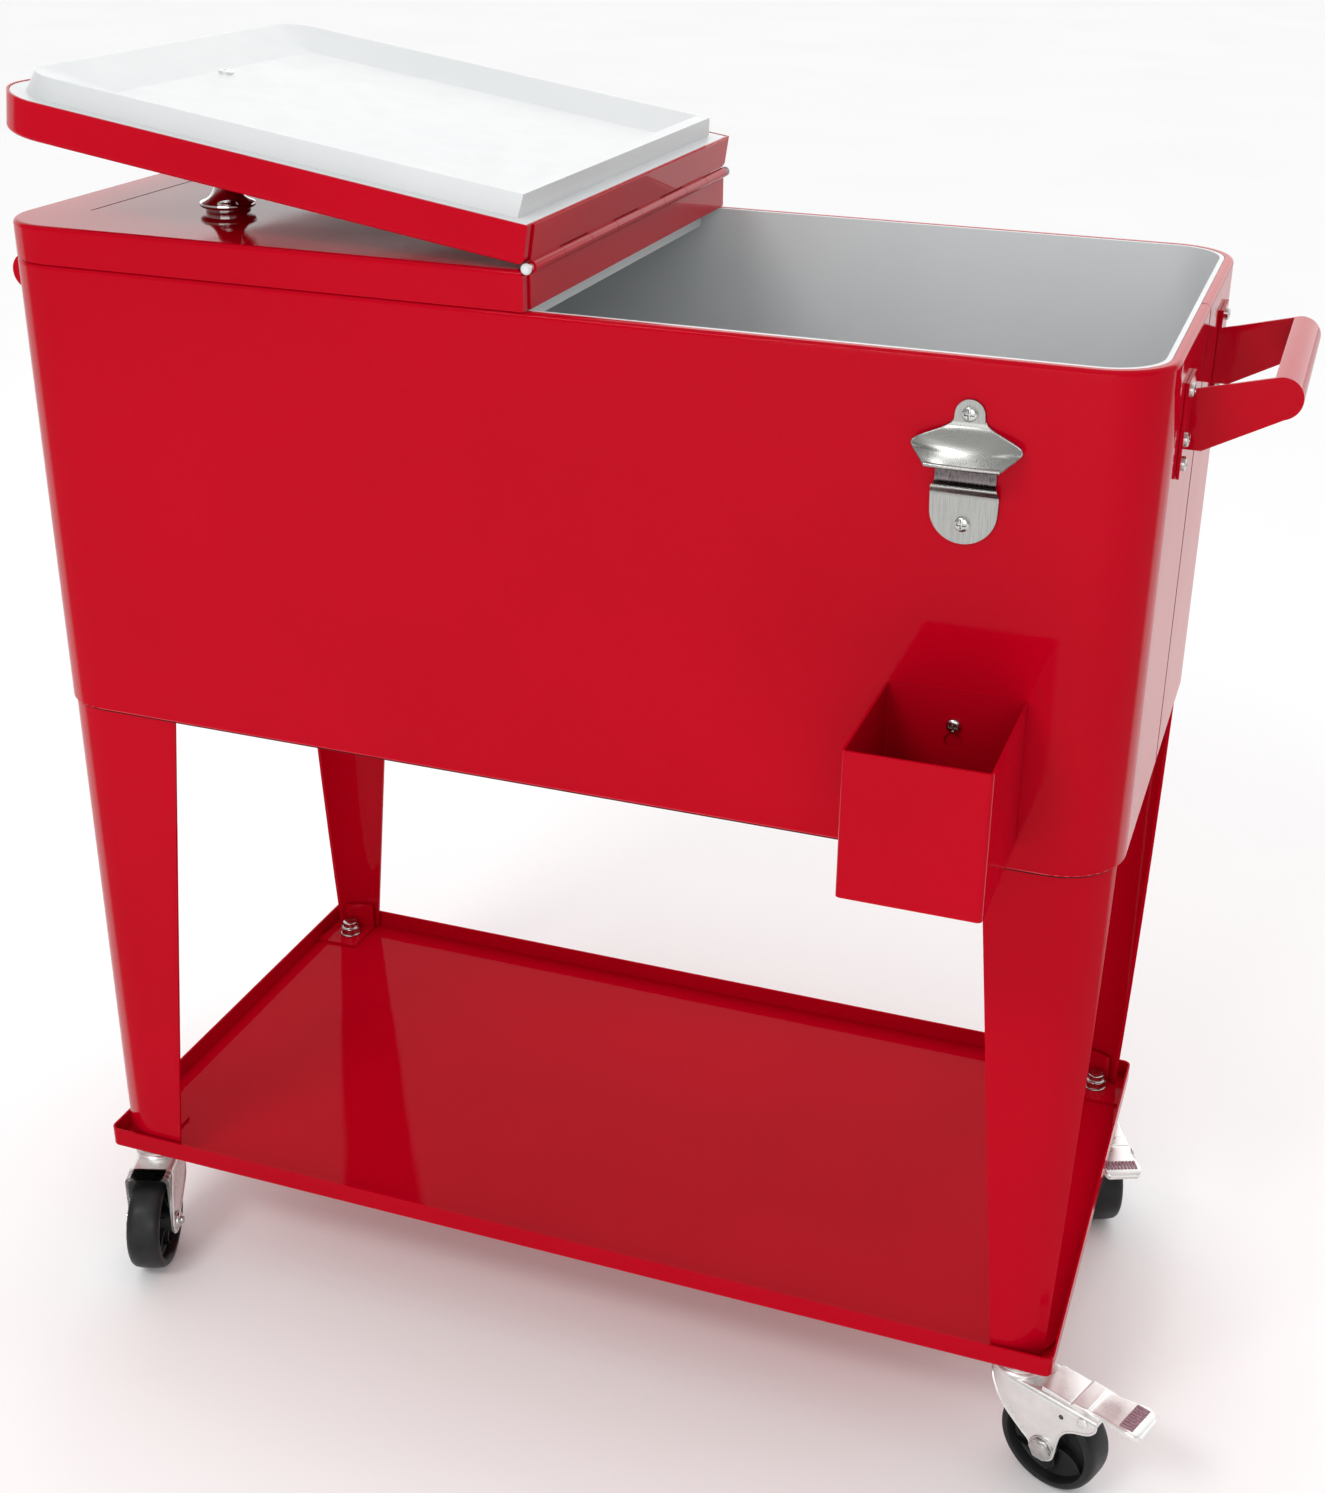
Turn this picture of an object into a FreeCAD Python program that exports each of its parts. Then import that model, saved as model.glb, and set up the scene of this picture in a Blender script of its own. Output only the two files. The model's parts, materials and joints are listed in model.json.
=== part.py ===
import FreeCAD, Part
import math
import os
from types import SimpleNamespace

import Sketcher

# A patio cooler on a wheeled stand: an insulated tub with two lids on one centre hinge, a handle
# at each end, a bottle opener with a cap catcher under it, four bent legs, a shelf tray and four
# swivel casters. X runs along the tub, Y from the opener side to the back, Z up from the floor.

Vector = FreeCAD.Vector
Rotation = FreeCAD.Rotation
Placement = FreeCAD.Placement
ORIGIN = Vector(0, 0, 0)

# ---------------------------------------------------------------- driving dimensions, mm and degrees

DIMENSIONS = dict(
    # tub
    tub_half_x=370, tub_half_y=180.2, tub_corner=42, tub_bottom_z=473.5, rim_z=780,
    sheet=1.5, rim_flange=6, rim_round=3, seam_gap=0.2, pan_z=480,
    liner_wall=3, liner_floor_z=500, liner_draft=0.065, liner_gap=0.3,
    drain_x=-200, drain_bore=8, drain_tube=11,
    # lids, measured from the hinge axis
    hinge_z=805.2, lid_top=1.2, lid_height=23.8, lid_end_gap=1.7, lid_round=3, lid_hinge_round=5,
    plug_depth=13, plug_inset=11.5, plug_slope=5, liner_sheet=2.5,
    panel_depth=10.5, panel_inset_x=57, panel_inset_y=56, panel_edge=18.5, panel_corner=22, panel_step=22,
    knuckle=3.6, hinge_bore=2.1, hinge_pin=2.04, leaf_gap=0.5, leaf_sheet=1.1, leaf_drop=4.3,
    left_knob_x=250, left_knob_y=90, right_knob_x=307, right_knob_y=0, lid_open_angle=171.5,
    knob_foot=14.5, knob_rim=18, knob_neck=7, knob_head=13, knob_height=37.8,
    groove_x=330, groove_half=124,
    # handles
    handle_arm_y=78.5, handle_sheet=2, handle_tip_x=421, handle_tip_z=747.5, handle_tip=12.5,
    handle_root_low=712, handle_root_high=748, handle_tab_low=703.2, handle_tab_high=759.5,
    handle_tab_end=110,
    # opener and cap catcher
    opener_x=263.5, opener_top_screw_z=749.6, opener_low_screw_z=686.3, opener_sheet=2,
    opener_lower_half=19.5, opener_upper_half=8,
    catcher_x=267.4, catcher_half=42, catcher_depth=99.3, catcher_low_z=492, catcher_high_z=583.5,
    catcher_screw_z=562.5, catcher_lift=10, catcher_gap=0.5,
    # stand
    leg_inset=1.8, leg_sheet=2, leg_low_z=98.2, leg_back_top=149, leg_back_low=166.5,
    narrow_top_x=289, narrow_low_x=323.6, wide_top_x=269.5, wide_low_x=307,
    foot_inset=6.2, foot_x=326, foot_back_y=136, foot_height=24,
    tray_half_x=365.5, tray_half_y=182.2, tray_under_z=96.5, tray_lip=15.5, tray_corner=6,
    # casters
    caster_x=341, caster_y=156, wheel_radius=37, wheel_half=12.5, caster_trail=32,
    stem=5, axle=4, axle_bore=4.06, fork_half=17, fork_sheet=2, pivot_x=60, pivot_z=-19.5,
    # screws
    screw=2, screw_hole=2.3, screw_head=4.3, screw_head_height=2.6,
)

CASTER_ANGLES = dict(front_left=-72, front_right=-22, back_left=-100, back_right=-67)
BRAKED = ("front_right", "back_right")
WIDE_LEGS = ("front_left", "back_right")
HINGE_KNUCKLES = 8
HANDLE_SCREW_HEIGHTS = (753, 724, 709.5)


class Size:
    """A number together with the spreadsheet formula that gives it."""

    def __init__(self, value, formula):
        self.value = value
        self.formula = formula

    def combine(self, sign, other, result):
        return Size(result, f"({self.formula} {sign} {text_of(other)})")

    def __add__(self, other):
        return self.combine("+", other, self.value + number(other))

    def __sub__(self, other):
        return self.combine("-", other, self.value - number(other))

    def __mul__(self, other):
        return self.combine("*", other, self.value * number(other))

    def __truediv__(self, other):
        return self.combine("/", other, self.value / number(other))

    def __neg__(self):
        return Size(-self.value, f"(-1 * {self.formula})")

    def __radd__(self, other):
        return self + other

    def __rsub__(self, other):
        return -self + other

    def __rmul__(self, other):
        return self * other


def number(size):
    return size.value if isinstance(size, Size) else size


def text_of(size):
    return size.formula if isinstance(size, Size) else repr(float(size))


doc = FreeCAD.newDocument("PatioCooler")
sheet = doc.addObject("Spreadsheet::Sheet", "Sizes")
for row, (alias, amount) in enumerate(DIMENSIONS.items(), start=1):
    sheet.set(f"A{row}", alias)
    sheet.set(f"B{row}", str(amount))
    sheet.setAlias(f"B{row}", alias)
doc.recompute()
S = SimpleNamespace(**{name: Size(value, f"Sizes.{name}") for name, value in DIMENSIONS.items()})

# the cap catcher reaches further forward than anything reaches back, so everything is moved back
# until the origin lies at the centre of the whole cart's footprint
FRAME_SHIFT = (DIMENSIONS["tub_half_y"] + DIMENSIONS["catcher_gap"] + DIMENSIONS["catcher_depth"]
               - DIMENSIONS["tray_half_y"]) / 2
SHIFTED = Placement(Vector(0, FRAME_SHIFT, 0), Rotation())
nodes = {}

# ---------------------------------------------------------------- building blocks


def bind(feature, **sizes):
    for name, size in sizes.items():
        if isinstance(size, Size):
            feature.setExpression(name, size.formula)
        else:
            setattr(feature, name, size)


def place(feature, at, turn=None):
    feature.Placement = Placement(Vector(*[number(a) for a in at]), turn or Rotation())
    for letter, size in zip("xyz", at):
        if isinstance(size, Size):
            feature.setExpression(f".Placement.Base.{letter}", size.formula)
    return feature


def block(low, high):
    """A box between two corners."""
    feature = doc.addObject("Part::Box", "Block")
    length, width, height = [b - a for a, b in zip(low, high)]
    bind(feature, Length=length, Width=width, Height=height)
    return place(feature, low)


TURNS = dict(
    x=Rotation(Vector(0, 1, 0), 90), y=Rotation(Vector(1, 0, 0), -90), z=Rotation(),
)


def rod(radius, length, at, axis="z"):
    """A cylinder that starts at a point and runs along the positive axis."""
    feature = doc.addObject("Part::Cylinder", "Rod")
    bind(feature, Radius=radius, Height=length)
    return place(feature, at, TURNS[axis])


def hexagon(radius, length, at, axis="z"):
    feature = doc.addObject("Part::Prism", "Hexagon")
    bind(feature, Polygon=6, Circumradius=radius, Height=length)
    return place(feature, at, TURNS[axis])


def fuse(*pieces):
    feature = doc.addObject("Part::MultiFuse", "Union")
    feature.Shapes = list(pieces)
    return feature


def cut(base, *tools):
    feature = doc.addObject("Part::Cut", "Cut")
    feature.Base = base
    feature.Tool = tools[0] if len(tools) == 1 else fuse(*tools)
    return feature


def common(first, second):
    feature = doc.addObject("Part::Common", "Common")
    feature.Base = first
    feature.Tool = second
    return feature


def mirrored(source, normal):
    feature = doc.addObject("Part::Mirroring", "Mirror")
    feature.Source = source
    feature.Normal = normal
    return feature


def rounded(source, choose):
    """Fillets the edges for which choose(edge) gives a radius."""
    doc.recompute()
    radii = [(n, choose(edge)) for n, edge in enumerate(source.Shape.Edges, start=1)]
    feature = doc.addObject("Part::Fillet", "Rounded")
    feature.Base = source
    feature.Edges = [(n, radius, radius) for n, radius in radii if radius]
    return feature


def is_upright(edge):
    low, high = edge.BoundBox.ZMin, edge.BoundBox.ZMax
    return edge.BoundBox.XLength < 0.01 and edge.BoundBox.YLength < 0.01 and high - low > 0.01


def upright_edges(radius, where=lambda point: True):
    """A chooser of the upright edges whose middle passes a test."""
    return lambda edge: number(radius) if is_upright(edge) and where(edge.BoundBox.Center) else None


def level_edges(radius, height):
    """A chooser of the edges that lie flat at one height."""
    def choose(edge):
        box = edge.BoundBox
        return number(radius) if box.ZLength < 0.01 and abs(box.ZMin - number(height)) < 0.01 else None
    return choose


def plane_of(body, role):
    return next(f for f in body.Origin.OriginFeatures if f.Role == role)


def sketch_on(body, role, offset=0):
    sketch = body.newObject("Sketcher::SketchObject", "Outline")
    sketch.AttachmentSupport = [(plane_of(body, role), "")]
    sketch.MapMode = "FlatFace"
    if isinstance(offset, Size):
        sketch.setExpression(".AttachmentOffset.Base.z", offset.formula)
    else:
        sketch.AttachmentOffset = Placement(Vector(0, 0, offset), Rotation())
    return sketch


def hold(sketch, kind, geometry, point, size):
    """Fixes one coordinate of a point to a size."""
    index = sketch.addConstraint(Sketcher.Constraint(kind, -1, 1, geometry, point, number(size)))
    if isinstance(size, Size):
        sketch.setExpression(f"Constraints[{index}]", size.formula)


def draw_polygon(sketch, points):
    corners = [Vector(number(a), number(b), 0) for a, b in points]
    for start, end in zip(corners, corners[1:] + corners[:1]):
        sketch.addGeometry(Part.LineSegment(start, end), False)
    count = len(corners)
    for side in range(count):
        sketch.addConstraint(Sketcher.Constraint("Coincident", side, 2, (side + 1) % count, 1))
    for side, (across, up) in enumerate(points):
        hold(sketch, "DistanceX", side, 1, across)
        hold(sketch, "DistanceY", side, 1, up)


def padded(role, points, length, offset=0):
    """A polygon drawn on an origin plane and padded along the plane's normal."""
    body = doc.addObject("PartDesign::Body", "Body")
    sketch = sketch_on(body, role, offset)
    draw_polygon(sketch, points)
    pad = body.newObject("PartDesign::Pad", "Pad")
    pad.Profile = sketch
    bind(pad, Length=length)
    return body


def side_profile(points, low_x, high_x):
    """A prism along X from points given as (y, z)."""
    return padded("YZ_Plane", points, high_x - low_x, low_x)


def front_profile(points, low_y, high_y):
    """A prism along Y from points given as (x, z)."""
    return padded("XZ_Plane", points, high_y - low_y, -high_y)


def turned(points):
    """A body of revolution about Z from points given as (radius, z)."""
    body = doc.addObject("PartDesign::Body", "Turned")
    sketch = sketch_on(body, "XZ_Plane")
    draw_polygon(sketch, points)
    revolution = body.newObject("PartDesign::Revolution", "Revolution")
    revolution.Profile = sketch
    revolution.ReferenceAxis = (sketch, ["V_Axis"])
    revolution.Angle = 360
    return body


def rounded_rectangle(half_x, half_y, radius, height):
    """A level sketch of a rectangle with round corners."""
    sketch = doc.addObject("Sketcher::SketchObject", "RoundedRectangle")
    x, y, r = number(half_x), number(half_y), number(radius)
    sides = [((-x + r, -y), (x - r, -y)), ((x, -y + r), (x, y - r)),
             ((x - r, y), (-x + r, y)), ((-x, y - r), (-x, -y + r))]
    centres = [(x - r, -y + r, -90), (x - r, y - r, 0), (-x + r, y - r, 90), (-x + r, -y + r, 180)]
    for (start, end), (centre_x, centre_y, angle) in zip(sides, centres):
        sketch.addGeometry(Part.LineSegment(Vector(*start, 0), Vector(*end, 0)), False)
        circle = Part.Circle(Vector(centre_x, centre_y, 0), Vector(0, 0, 1), r)
        arc = Part.ArcOfCircle(circle, math.radians(angle), math.radians(angle + 90))
        sketch.addGeometry(arc, False)
    for side in (0, 2, 4, 6):
        sketch.addConstraint(Sketcher.Constraint("Tangent", side, 2, side + 1, 1))
        sketch.addConstraint(Sketcher.Constraint("Tangent", side + 1, 2, (side + 2) % 8, 1))
    for side, direction in zip((0, 2, 4, 6), ("Horizontal", "Vertical") * 2):
        sketch.addConstraint(Sketcher.Constraint(direction, side))
    for arc in (3, 5, 7):
        sketch.addConstraint(Sketcher.Constraint("Equal", 1, arc))
    corner = sketch.addConstraint(Sketcher.Constraint("Radius", 1, r))
    if isinstance(radius, Size):
        sketch.setExpression(f"Constraints[{corner}]", radius.formula)
    hold(sketch, "DistanceY", 0, 1, -half_y)
    hold(sketch, "DistanceX", 2, 1, half_x)
    hold(sketch, "DistanceY", 4, 1, half_y)
    hold(sketch, "DistanceX", 6, 1, -half_x)
    return place(sketch, (0, 0, height))


def lofted(low, high):
    feature = doc.addObject("Part::Loft", "Tapered")
    feature.Sections = [low, high]
    feature.Solid = True
    feature.Ruled = True
    return feature


def round_cornered(half_x, half_y, radius, low_z, high_z):
    """A block centred on the origin with upright corners rounded."""
    return rounded(block((-half_x, -half_y, low_z), (half_x, half_y, high_z)), upright_edges(radius))


def finish(label, feature, where=SHIFTED):
    """Names a sub-part and puts it in its place in the cart."""
    if feature.TypeId not in ("Part::Cut", "Part::Common", "Part::Fillet", "Part::MultiFuse",
                              "Part::Mirroring", "PartDesign::Body"):
        holder = doc.addObject("Part::Compound", "Piece")
        holder.Links = [feature]
        feature = holder
    feature.Label = label
    feature.Placement = where
    nodes[label] = feature


# ---------------------------------------------------------------- tub


def handle_screw_places(side):
    """(y, z) of the screws on one end wall; both ends use the same heights."""
    return [(side * (S.handle_arm_y + 20), z) for z in HANDLE_SCREW_HEIGHTS]


def tub_shell():
    """The steel jacket: straight walls, round corners and an inward flange as its rim."""
    outer = round_cornered(S.tub_half_x, S.tub_half_y, S.tub_corner, S.tub_bottom_z, S.rim_z)
    outer = rounded(outer, level_edges(S.rim_round, S.rim_z))
    hollow = round_cornered(S.tub_half_x - S.sheet, S.tub_half_y - S.sheet, S.tub_corner - S.sheet,
                            S.tub_bottom_z - 1, S.rim_z - S.sheet)
    mouth = round_cornered(S.tub_half_x - S.rim_flange, S.tub_half_y - S.rim_flange,
                           S.tub_corner - S.rim_flange, S.rim_z - 5, S.rim_z + 1)
    holes = []
    for side in (-1, 1):
        for y, z in handle_screw_places(side):
            holes.append(rod(S.screw_hole, 2 * S.tub_half_x + 10, (-S.tub_half_x - 5, y, z), "x"))
    for x, z in ((S.opener_x, S.opener_top_screw_z), (S.opener_x, S.opener_low_screw_z),
                 (S.catcher_x, S.catcher_screw_z)):
        holes.append(rod(S.screw_hole, 20, (x, -S.tub_half_y - 10, z), "y"))
    return cut(outer, hollow, mouth, *holes)


def shell_half(label, shell, front):
    reach = S.tub_half_x + 10
    low_y, high_y = (-reach, -S.seam_gap / 2) if front else (S.seam_gap / 2, reach)
    side = block((-reach, low_y, S.tub_bottom_z - 5), (reach, high_y, S.rim_z + 5))
    finish(label, common(shell, side))


def liner_block(grow, floor_z, top_z):
    """The tapered block that the liner fills, grown sideways by a margin."""
    def section(z):
        inset = S.rim_flange + S.liner_gap - grow + (S.rim_z - z) * S.liner_draft
        return rounded_rectangle(S.tub_half_x - inset, S.tub_half_y - inset, S.tub_corner - inset, z)
    return lofted(section(floor_z), section(top_z))


def drain_hole():
    return rod(S.drain_tube + 0.3, 60, (S.drain_x, 0, S.tub_bottom_z - 10))


def tub():
    shell = tub_shell()
    shell_half("front_shell", shell, True)
    shell_half("back_shell", shell, False)

    pan = round_cornered(S.tub_half_x - S.sheet - 0.1, S.tub_half_y - S.sheet - 0.1,
                         S.tub_corner - S.sheet, S.pan_z, S.pan_z + S.sheet)
    finish("bottom_pan", cut(pan, drain_hole(), *leg_bolt_holes()))

    inside = liner_block(-S.liner_wall, S.liner_floor_z + S.liner_wall, S.rim_z + 10)
    finish("liner", cut(liner_block(0, S.liner_floor_z, S.rim_z - 0.2), inside, drain_hole()))

    foam = round_cornered(S.tub_half_x - S.sheet - 0.3, S.tub_half_y - S.sheet - 0.3,
                          S.tub_corner - S.sheet, S.pan_z + 8, S.rim_z - S.sheet - 0.3)
    room = liner_block(0.3, S.liner_floor_z - 0.3, S.rim_z + 5)
    finish("insulation", cut(foam, room, drain_hole()))


def drain():
    """A threaded spout through the floor, its nut, and a screw cap."""
    floor, pan = S.liner_floor_z + S.liner_wall, S.pan_z
    spout = turned([(S.drain_bore, pan - 28), (S.drain_tube, pan - 28), (S.drain_tube, floor),
                    (S.drain_tube + 7, floor), (S.drain_tube + 7, floor + 2), (S.drain_bore, floor + 2)])
    nut = cut(hexagon(S.drain_tube + 8, 7, (0, 0, pan - 7)),
              rod(S.drain_tube + 0.1, 9, (0, 0, pan - 8)))
    cap = turned([(0, pan - 32), (S.drain_tube + 4, pan - 32), (S.drain_tube + 4, pan - 12),
                  (S.drain_tube + 0.4, pan - 12), (S.drain_tube + 0.4, pan - 28.6), (0, pan - 28.6)])
    where = SHIFTED * Placement(Vector(number(S.drain_x), 0, 0), Rotation())
    finish("drain_spout", spout, where)
    finish("drain_nut", nut, where)
    finish("drain_cap", cap, where)


# ---------------------------------------------------------------- lids, drawn closed on the +X side
# with the hinge axis along Y through the origin


def lid_block(inset, low_z, high_z, radius, start_x):
    """A slab inside the lid's outline with its two outer corners rounded."""
    slab = block((start_x, -S.tub_half_y + inset, low_z),
                 (S.tub_half_x - inset, S.tub_half_y - inset, high_z))
    return rounded(slab, upright_edges(radius, lambda point: point.x > 50))


def lid_cover(knob):
    """The pressed steel cover: a shallow tray turned over, softly rounded on top."""
    low, top = -S.lid_top - S.lid_height, -S.lid_top
    outer = lid_block(0, low, top, S.tub_corner, S.lid_end_gap)

    def top_edges(edge):
        if not level_edges(1, top)(edge):
            return None
        at_hinge = edge.BoundBox.XMax < number(S.lid_end_gap) + 0.1
        return number(S.lid_hinge_round if at_hinge else S.lid_round)

    outer = rounded(outer, top_edges)
    hollow = lid_block(S.sheet, low - 1, top - S.sheet, S.tub_corner - S.sheet, S.lid_end_gap + S.sheet)
    groove = block((S.groove_x, -S.groove_half, top - 0.6), (S.groove_x + 1.4, S.groove_half, top + 1))
    return cut(outer, hollow, groove, knob_hole(knob))


def knob_hole(knob):
    x, y = knob
    return rod(S.screw_hole + 0.3, 120, (x, y, -60))


def lid_seat():
    """The height of the lid's rim, where the moulded underside shows."""
    return -S.lid_top - S.lid_height + 0.3


def plug_section(inset_x, inset_y, radius, height):
    """An outline set in from the lid's outer end and sides, and reaching past its hinge end."""
    half_x = (S.tub_half_x + 100 - inset_x) / 2
    sketch = rounded_rectangle(half_x, S.tub_half_y - inset_y, radius, height)
    return place(sketch, (half_x - 100, 0, height))


def lid_liner(knob):
    """The moulded underside: a flat seat and a plug that rises to a rim round a sunken flat panel."""
    seat, deep = lid_seat(), lid_seat() - S.plug_depth
    margin, rim = S.sheet + 0.3, S.plug_inset + S.plug_slope
    flange = lid_block(margin, seat, seat + S.liner_sheet, S.tub_corner - margin, S.lid_end_gap + margin)
    plug = lofted(plug_section(rim, rim, S.tub_corner - rim, deep),
                  plug_section(S.plug_inset, S.plug_inset, S.tub_corner - S.plug_inset, seat + 0.5))
    hinge_end = block((S.lid_end_gap + S.plug_inset, -S.tub_half_y, deep - 1),
                      (S.tub_half_x, S.tub_half_y, seat + 1))
    panel = lofted(plug_section(S.panel_edge, S.panel_edge, S.panel_corner, deep - 0.1),
                   plug_section(S.panel_inset_x, S.panel_inset_y, 6, deep + S.panel_depth))
    panel_end = block((S.panel_step, -S.tub_half_y, deep - 1),
                      (S.tub_half_x, S.tub_half_y, deep + S.panel_depth + 1))
    return cut(fuse(flange, common(plug, hinge_end)), common(panel, panel_end), knob_hole(knob))


def lid_foam(knob):
    slab = lid_block(S.sheet + 0.6, lid_seat() + S.liner_sheet + 0.3, -S.lid_top - S.sheet - 0.3,
                     S.tub_corner - 3, S.lid_end_gap + S.sheet + 0.6)
    return cut(slab, knob_hole(knob))


def lid_knob():
    """A turned knob: a wide rimmed foot that sweeps up into a neck under a small domed head."""
    top, neck, head = S.knob_height, S.knob_neck, S.knob_head
    flare = [(neck + (S.knob_rim - neck - 3.5) * (1 - step / 5) ** 2.4, 7.5 + 2.5 * step)
             for step in range(6)]
    dome = [(head * math.cos(angle), top - 8 + 8 * math.sin(angle))
            for angle in [math.radians(step) for step in range(0, 90, 15)]]
    knob = turned([(0, 0), (S.knob_foot, 0), (S.knob_foot, 3), (S.knob_rim, 4), (S.knob_rim, 6),
                   (S.knob_rim - 1.5, 7)] + flare + [(neck, top - 14), (head - 1.5, top - 10)] + dome
                  + [(0, top)])
    return cut(knob, rod(S.screw_hole + 0.3, 26, (0, 0, -1)))


def knob_screw(knob):
    """The screw that holds a knob, its head on the sunken panel."""
    x, y = knob
    low = lid_seat() - S.plug_depth + S.panel_depth
    return fuse(rod(S.screw_head + 0.7, 2.5, (x, y, low - 2.5)), rod(S.screw, 40, (x, y, low - 1)))


def hinge_leaf():
    """A plate closing the lid's inner end, with every other knuckle of the hinge rolled on it."""
    half = S.tub_half_y - 8
    low = lid_seat() + 0.1
    pieces = [block((S.leaf_gap, -half, low), (S.leaf_gap + S.leaf_sheet, half, -S.leaf_drop))]
    pitch = half * 2 / HINGE_KNUCKLES
    for place_index in range(0, HINGE_KNUCKLES, 2):
        start = -half + pitch * place_index + 0.25
        pieces.append(block((S.leaf_gap, start, -S.leaf_drop - 1),
                            (S.leaf_gap + S.leaf_sheet, start + pitch - 0.5, -S.hinge_bore - 0.6)))
        pieces.append(rod(S.knuckle, pitch - 0.5, (0, start, 0), "y"))
    bore = rod(S.hinge_bore, S.tub_half_y * 2, (0, -S.tub_half_y, 0), "y")
    return cut(fuse(*pieces), bore)


def lids():
    """Two equal lids: the left one closed, the right one turned over on top of it."""
    axis = SHIFTED * Placement(Vector(0, 0, number(S.hinge_z)), Rotation())
    closed_left = axis * Placement(ORIGIN, Rotation(Vector(0, 0, 1), 180))
    open_right = axis * Placement(ORIGIN, Rotation(Vector(0, -1, 0), number(S.lid_open_angle)))
    knobs = dict(left=(S.left_knob_x, S.left_knob_y), right=(S.right_knob_x, S.right_knob_y))
    for side, where in (("left", closed_left), ("right", open_right)):
        knob = knobs[side]
        foot = Placement(Vector(number(knob[0]), number(knob[1]), 0.05 - number(S.lid_top)), Rotation())
        finish(f"{side}_lid_cover", lid_cover(knob), where)
        finish(f"{side}_lid_liner", lid_liner(knob), where)
        finish(f"{side}_lid_foam", lid_foam(knob), where)
        finish(f"{side}_lid_knob", lid_knob(), where * foot)
        finish(f"{side}_knob_screw", knob_screw(knob), where)
        finish(f"{side}_hinge_leaf", hinge_leaf(), where)
    half = S.tub_half_y - 2
    finish("hinge_pin", rod(S.hinge_pin, half * 2, (0, -half, 0), "y"), axis)
    cap = turned([(0, 0), (3.4, 0), (3.4, 1.6), (2.2, 2.6), (0, 3)])
    caps = []
    for side in (-1, 1):
        half_turn = Rotation(Vector(1, 0, 0), -90 * side)
        holder = doc.addObject("Part::Compound", "Cap")
        holder.Links = [cap]
        holder.Placement = Placement(Vector(0, side * (number(half) + 0.1), 0), half_turn)
        caps.append(holder)
    finish("hinge_caps", fuse(*caps), axis)


# ---------------------------------------------------------------- handles


def handle():
    """A strap of sheet at the +X end: two arms that rise outwards, joined by a rolled grip."""
    wall, skin = S.tub_half_x + 0.2, S.handle_sheet
    tip_x, tip_z, tip = S.handle_tip_x, S.handle_tip_z, S.handle_tip
    face = wall + skin
    outline = [(face - 0.5, S.handle_root_low), (face + 8, S.handle_root_low), (tip_x + 3.4, tip_z - 12),
               (tip_x, tip_z), (tip_x - 3.4, tip_z + 12), (face - 0.5, S.handle_root_high)]
    pieces = []
    for side in (-1, 1):
        low = S.handle_arm_y - skin if side > 0 else -S.handle_arm_y
        pieces.append(front_profile(outline, low, low + skin))
        pieces.append(rod(tip, skin, (tip_x, low, tip_z), "y"))
        tab_low = low if side > 0 else -S.handle_tab_end
        tab_high = S.handle_tab_end if side > 0 else low + skin
        tab = block((wall, tab_low, S.handle_tab_low), (face, tab_high, S.handle_tab_high))
        for y, z in handle_screw_places(side):
            tab = cut(tab, rod(S.screw_hole, 10, (wall - 4, y, z), "x"))
        pieces.append(tab)
    width = S.handle_arm_y * 2
    tube = cut(rod(tip, width, (tip_x, -S.handle_arm_y, tip_z), "y"),
               rod(tip - skin, width + 2, (tip_x, -S.handle_arm_y - 1, tip_z), "y"))
    keep = block((tip_x - 5, -S.handle_arm_y, tip_z - 20), (tip_x + 20, S.handle_arm_y, tip_z + 20))
    return fuse(common(tube, keep), *pieces)


def handle_screws():
    """Three pan-head screws in each of the four handle tabs."""
    screws = []
    face = S.tub_half_x + 0.2 + S.handle_sheet
    for end in (-1, 1):
        for side in (-1, 1):
            for y, z in handle_screw_places(side):
                head = face if end > 0 else -face - S.screw_head_height
                shank = face - 3.4 if end > 0 else -face - 0.5
                screws.append(fuse(rod(S.screw_head, S.screw_head_height, (head, y, z), "x"),
                                   rod(S.screw, 3.9, (shank, y, z), "x")))
    return fuse(*screws)


def handles():
    finish("right_handle", handle())
    finish("left_handle", handle(), SHIFTED * Placement(ORIGIN, Rotation(Vector(0, 0, 1), 180)))
    finish("handle_screws", handle_screws())


# ---------------------------------------------------------------- opener and cap catcher


def opener():
    """A wall-mounted opener: an upper tab, a hood that stands off the wall, and a lower tab."""
    x, wall, skin = S.opener_x, -S.tub_half_y - 0.1, S.opener_sheet
    front = wall - skin
    top, low = S.opener_top_screw_z, S.opener_low_screw_z
    plate = fuse(
        rod(S.opener_upper_half, skin, (x, front, top), "y"),
        block((x - S.opener_upper_half, front, top - 24), (x + S.opener_upper_half, wall, top)),
        rod(S.opener_lower_half, skin, (x, front, low + 6), "y"),
        block((x - S.opener_lower_half, front, low + 6), (x + S.opener_lower_half, wall, top - 22)),
    )
    hood_side = side_profile(
        [(wall, top - 6), (front, top - 7), (front - 8, top - 13), (front - 13, top - 21),
         (front - 15, top - 31), (front - 13, top - 31), (front - 11, top - 21.6),
         (front - 6.4, top - 14.4), (front, top - 9.8), (wall, top - 10)], x - 32, x + 32)
    hood_front = front_profile(
        [(x - S.opener_upper_half, top - 5), (x - 31, top - 17), (x - 21, top - 33),
         (x + 21, top - 33), (x + 31, top - 17), (x + S.opener_upper_half, top - 5)],
        front - 30, wall + 1)
    holes = [rod(S.screw_hole, 20, (x, wall - 10, z), "y") for z in (top, low)]
    return cut(fuse(plate, common(hood_side, hood_front)), *holes)


def front_screw(x, z, face):
    """A pan-head screw pointing into the front wall."""
    inner = -S.tub_half_y + S.sheet
    return fuse(rod(S.screw_head, S.screw_head_height, (x, face - S.screw_head_height, z), "y"),
                rod(S.screw, inner - face + 0.5, (x, face - 0.5, z), "y"))


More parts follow.
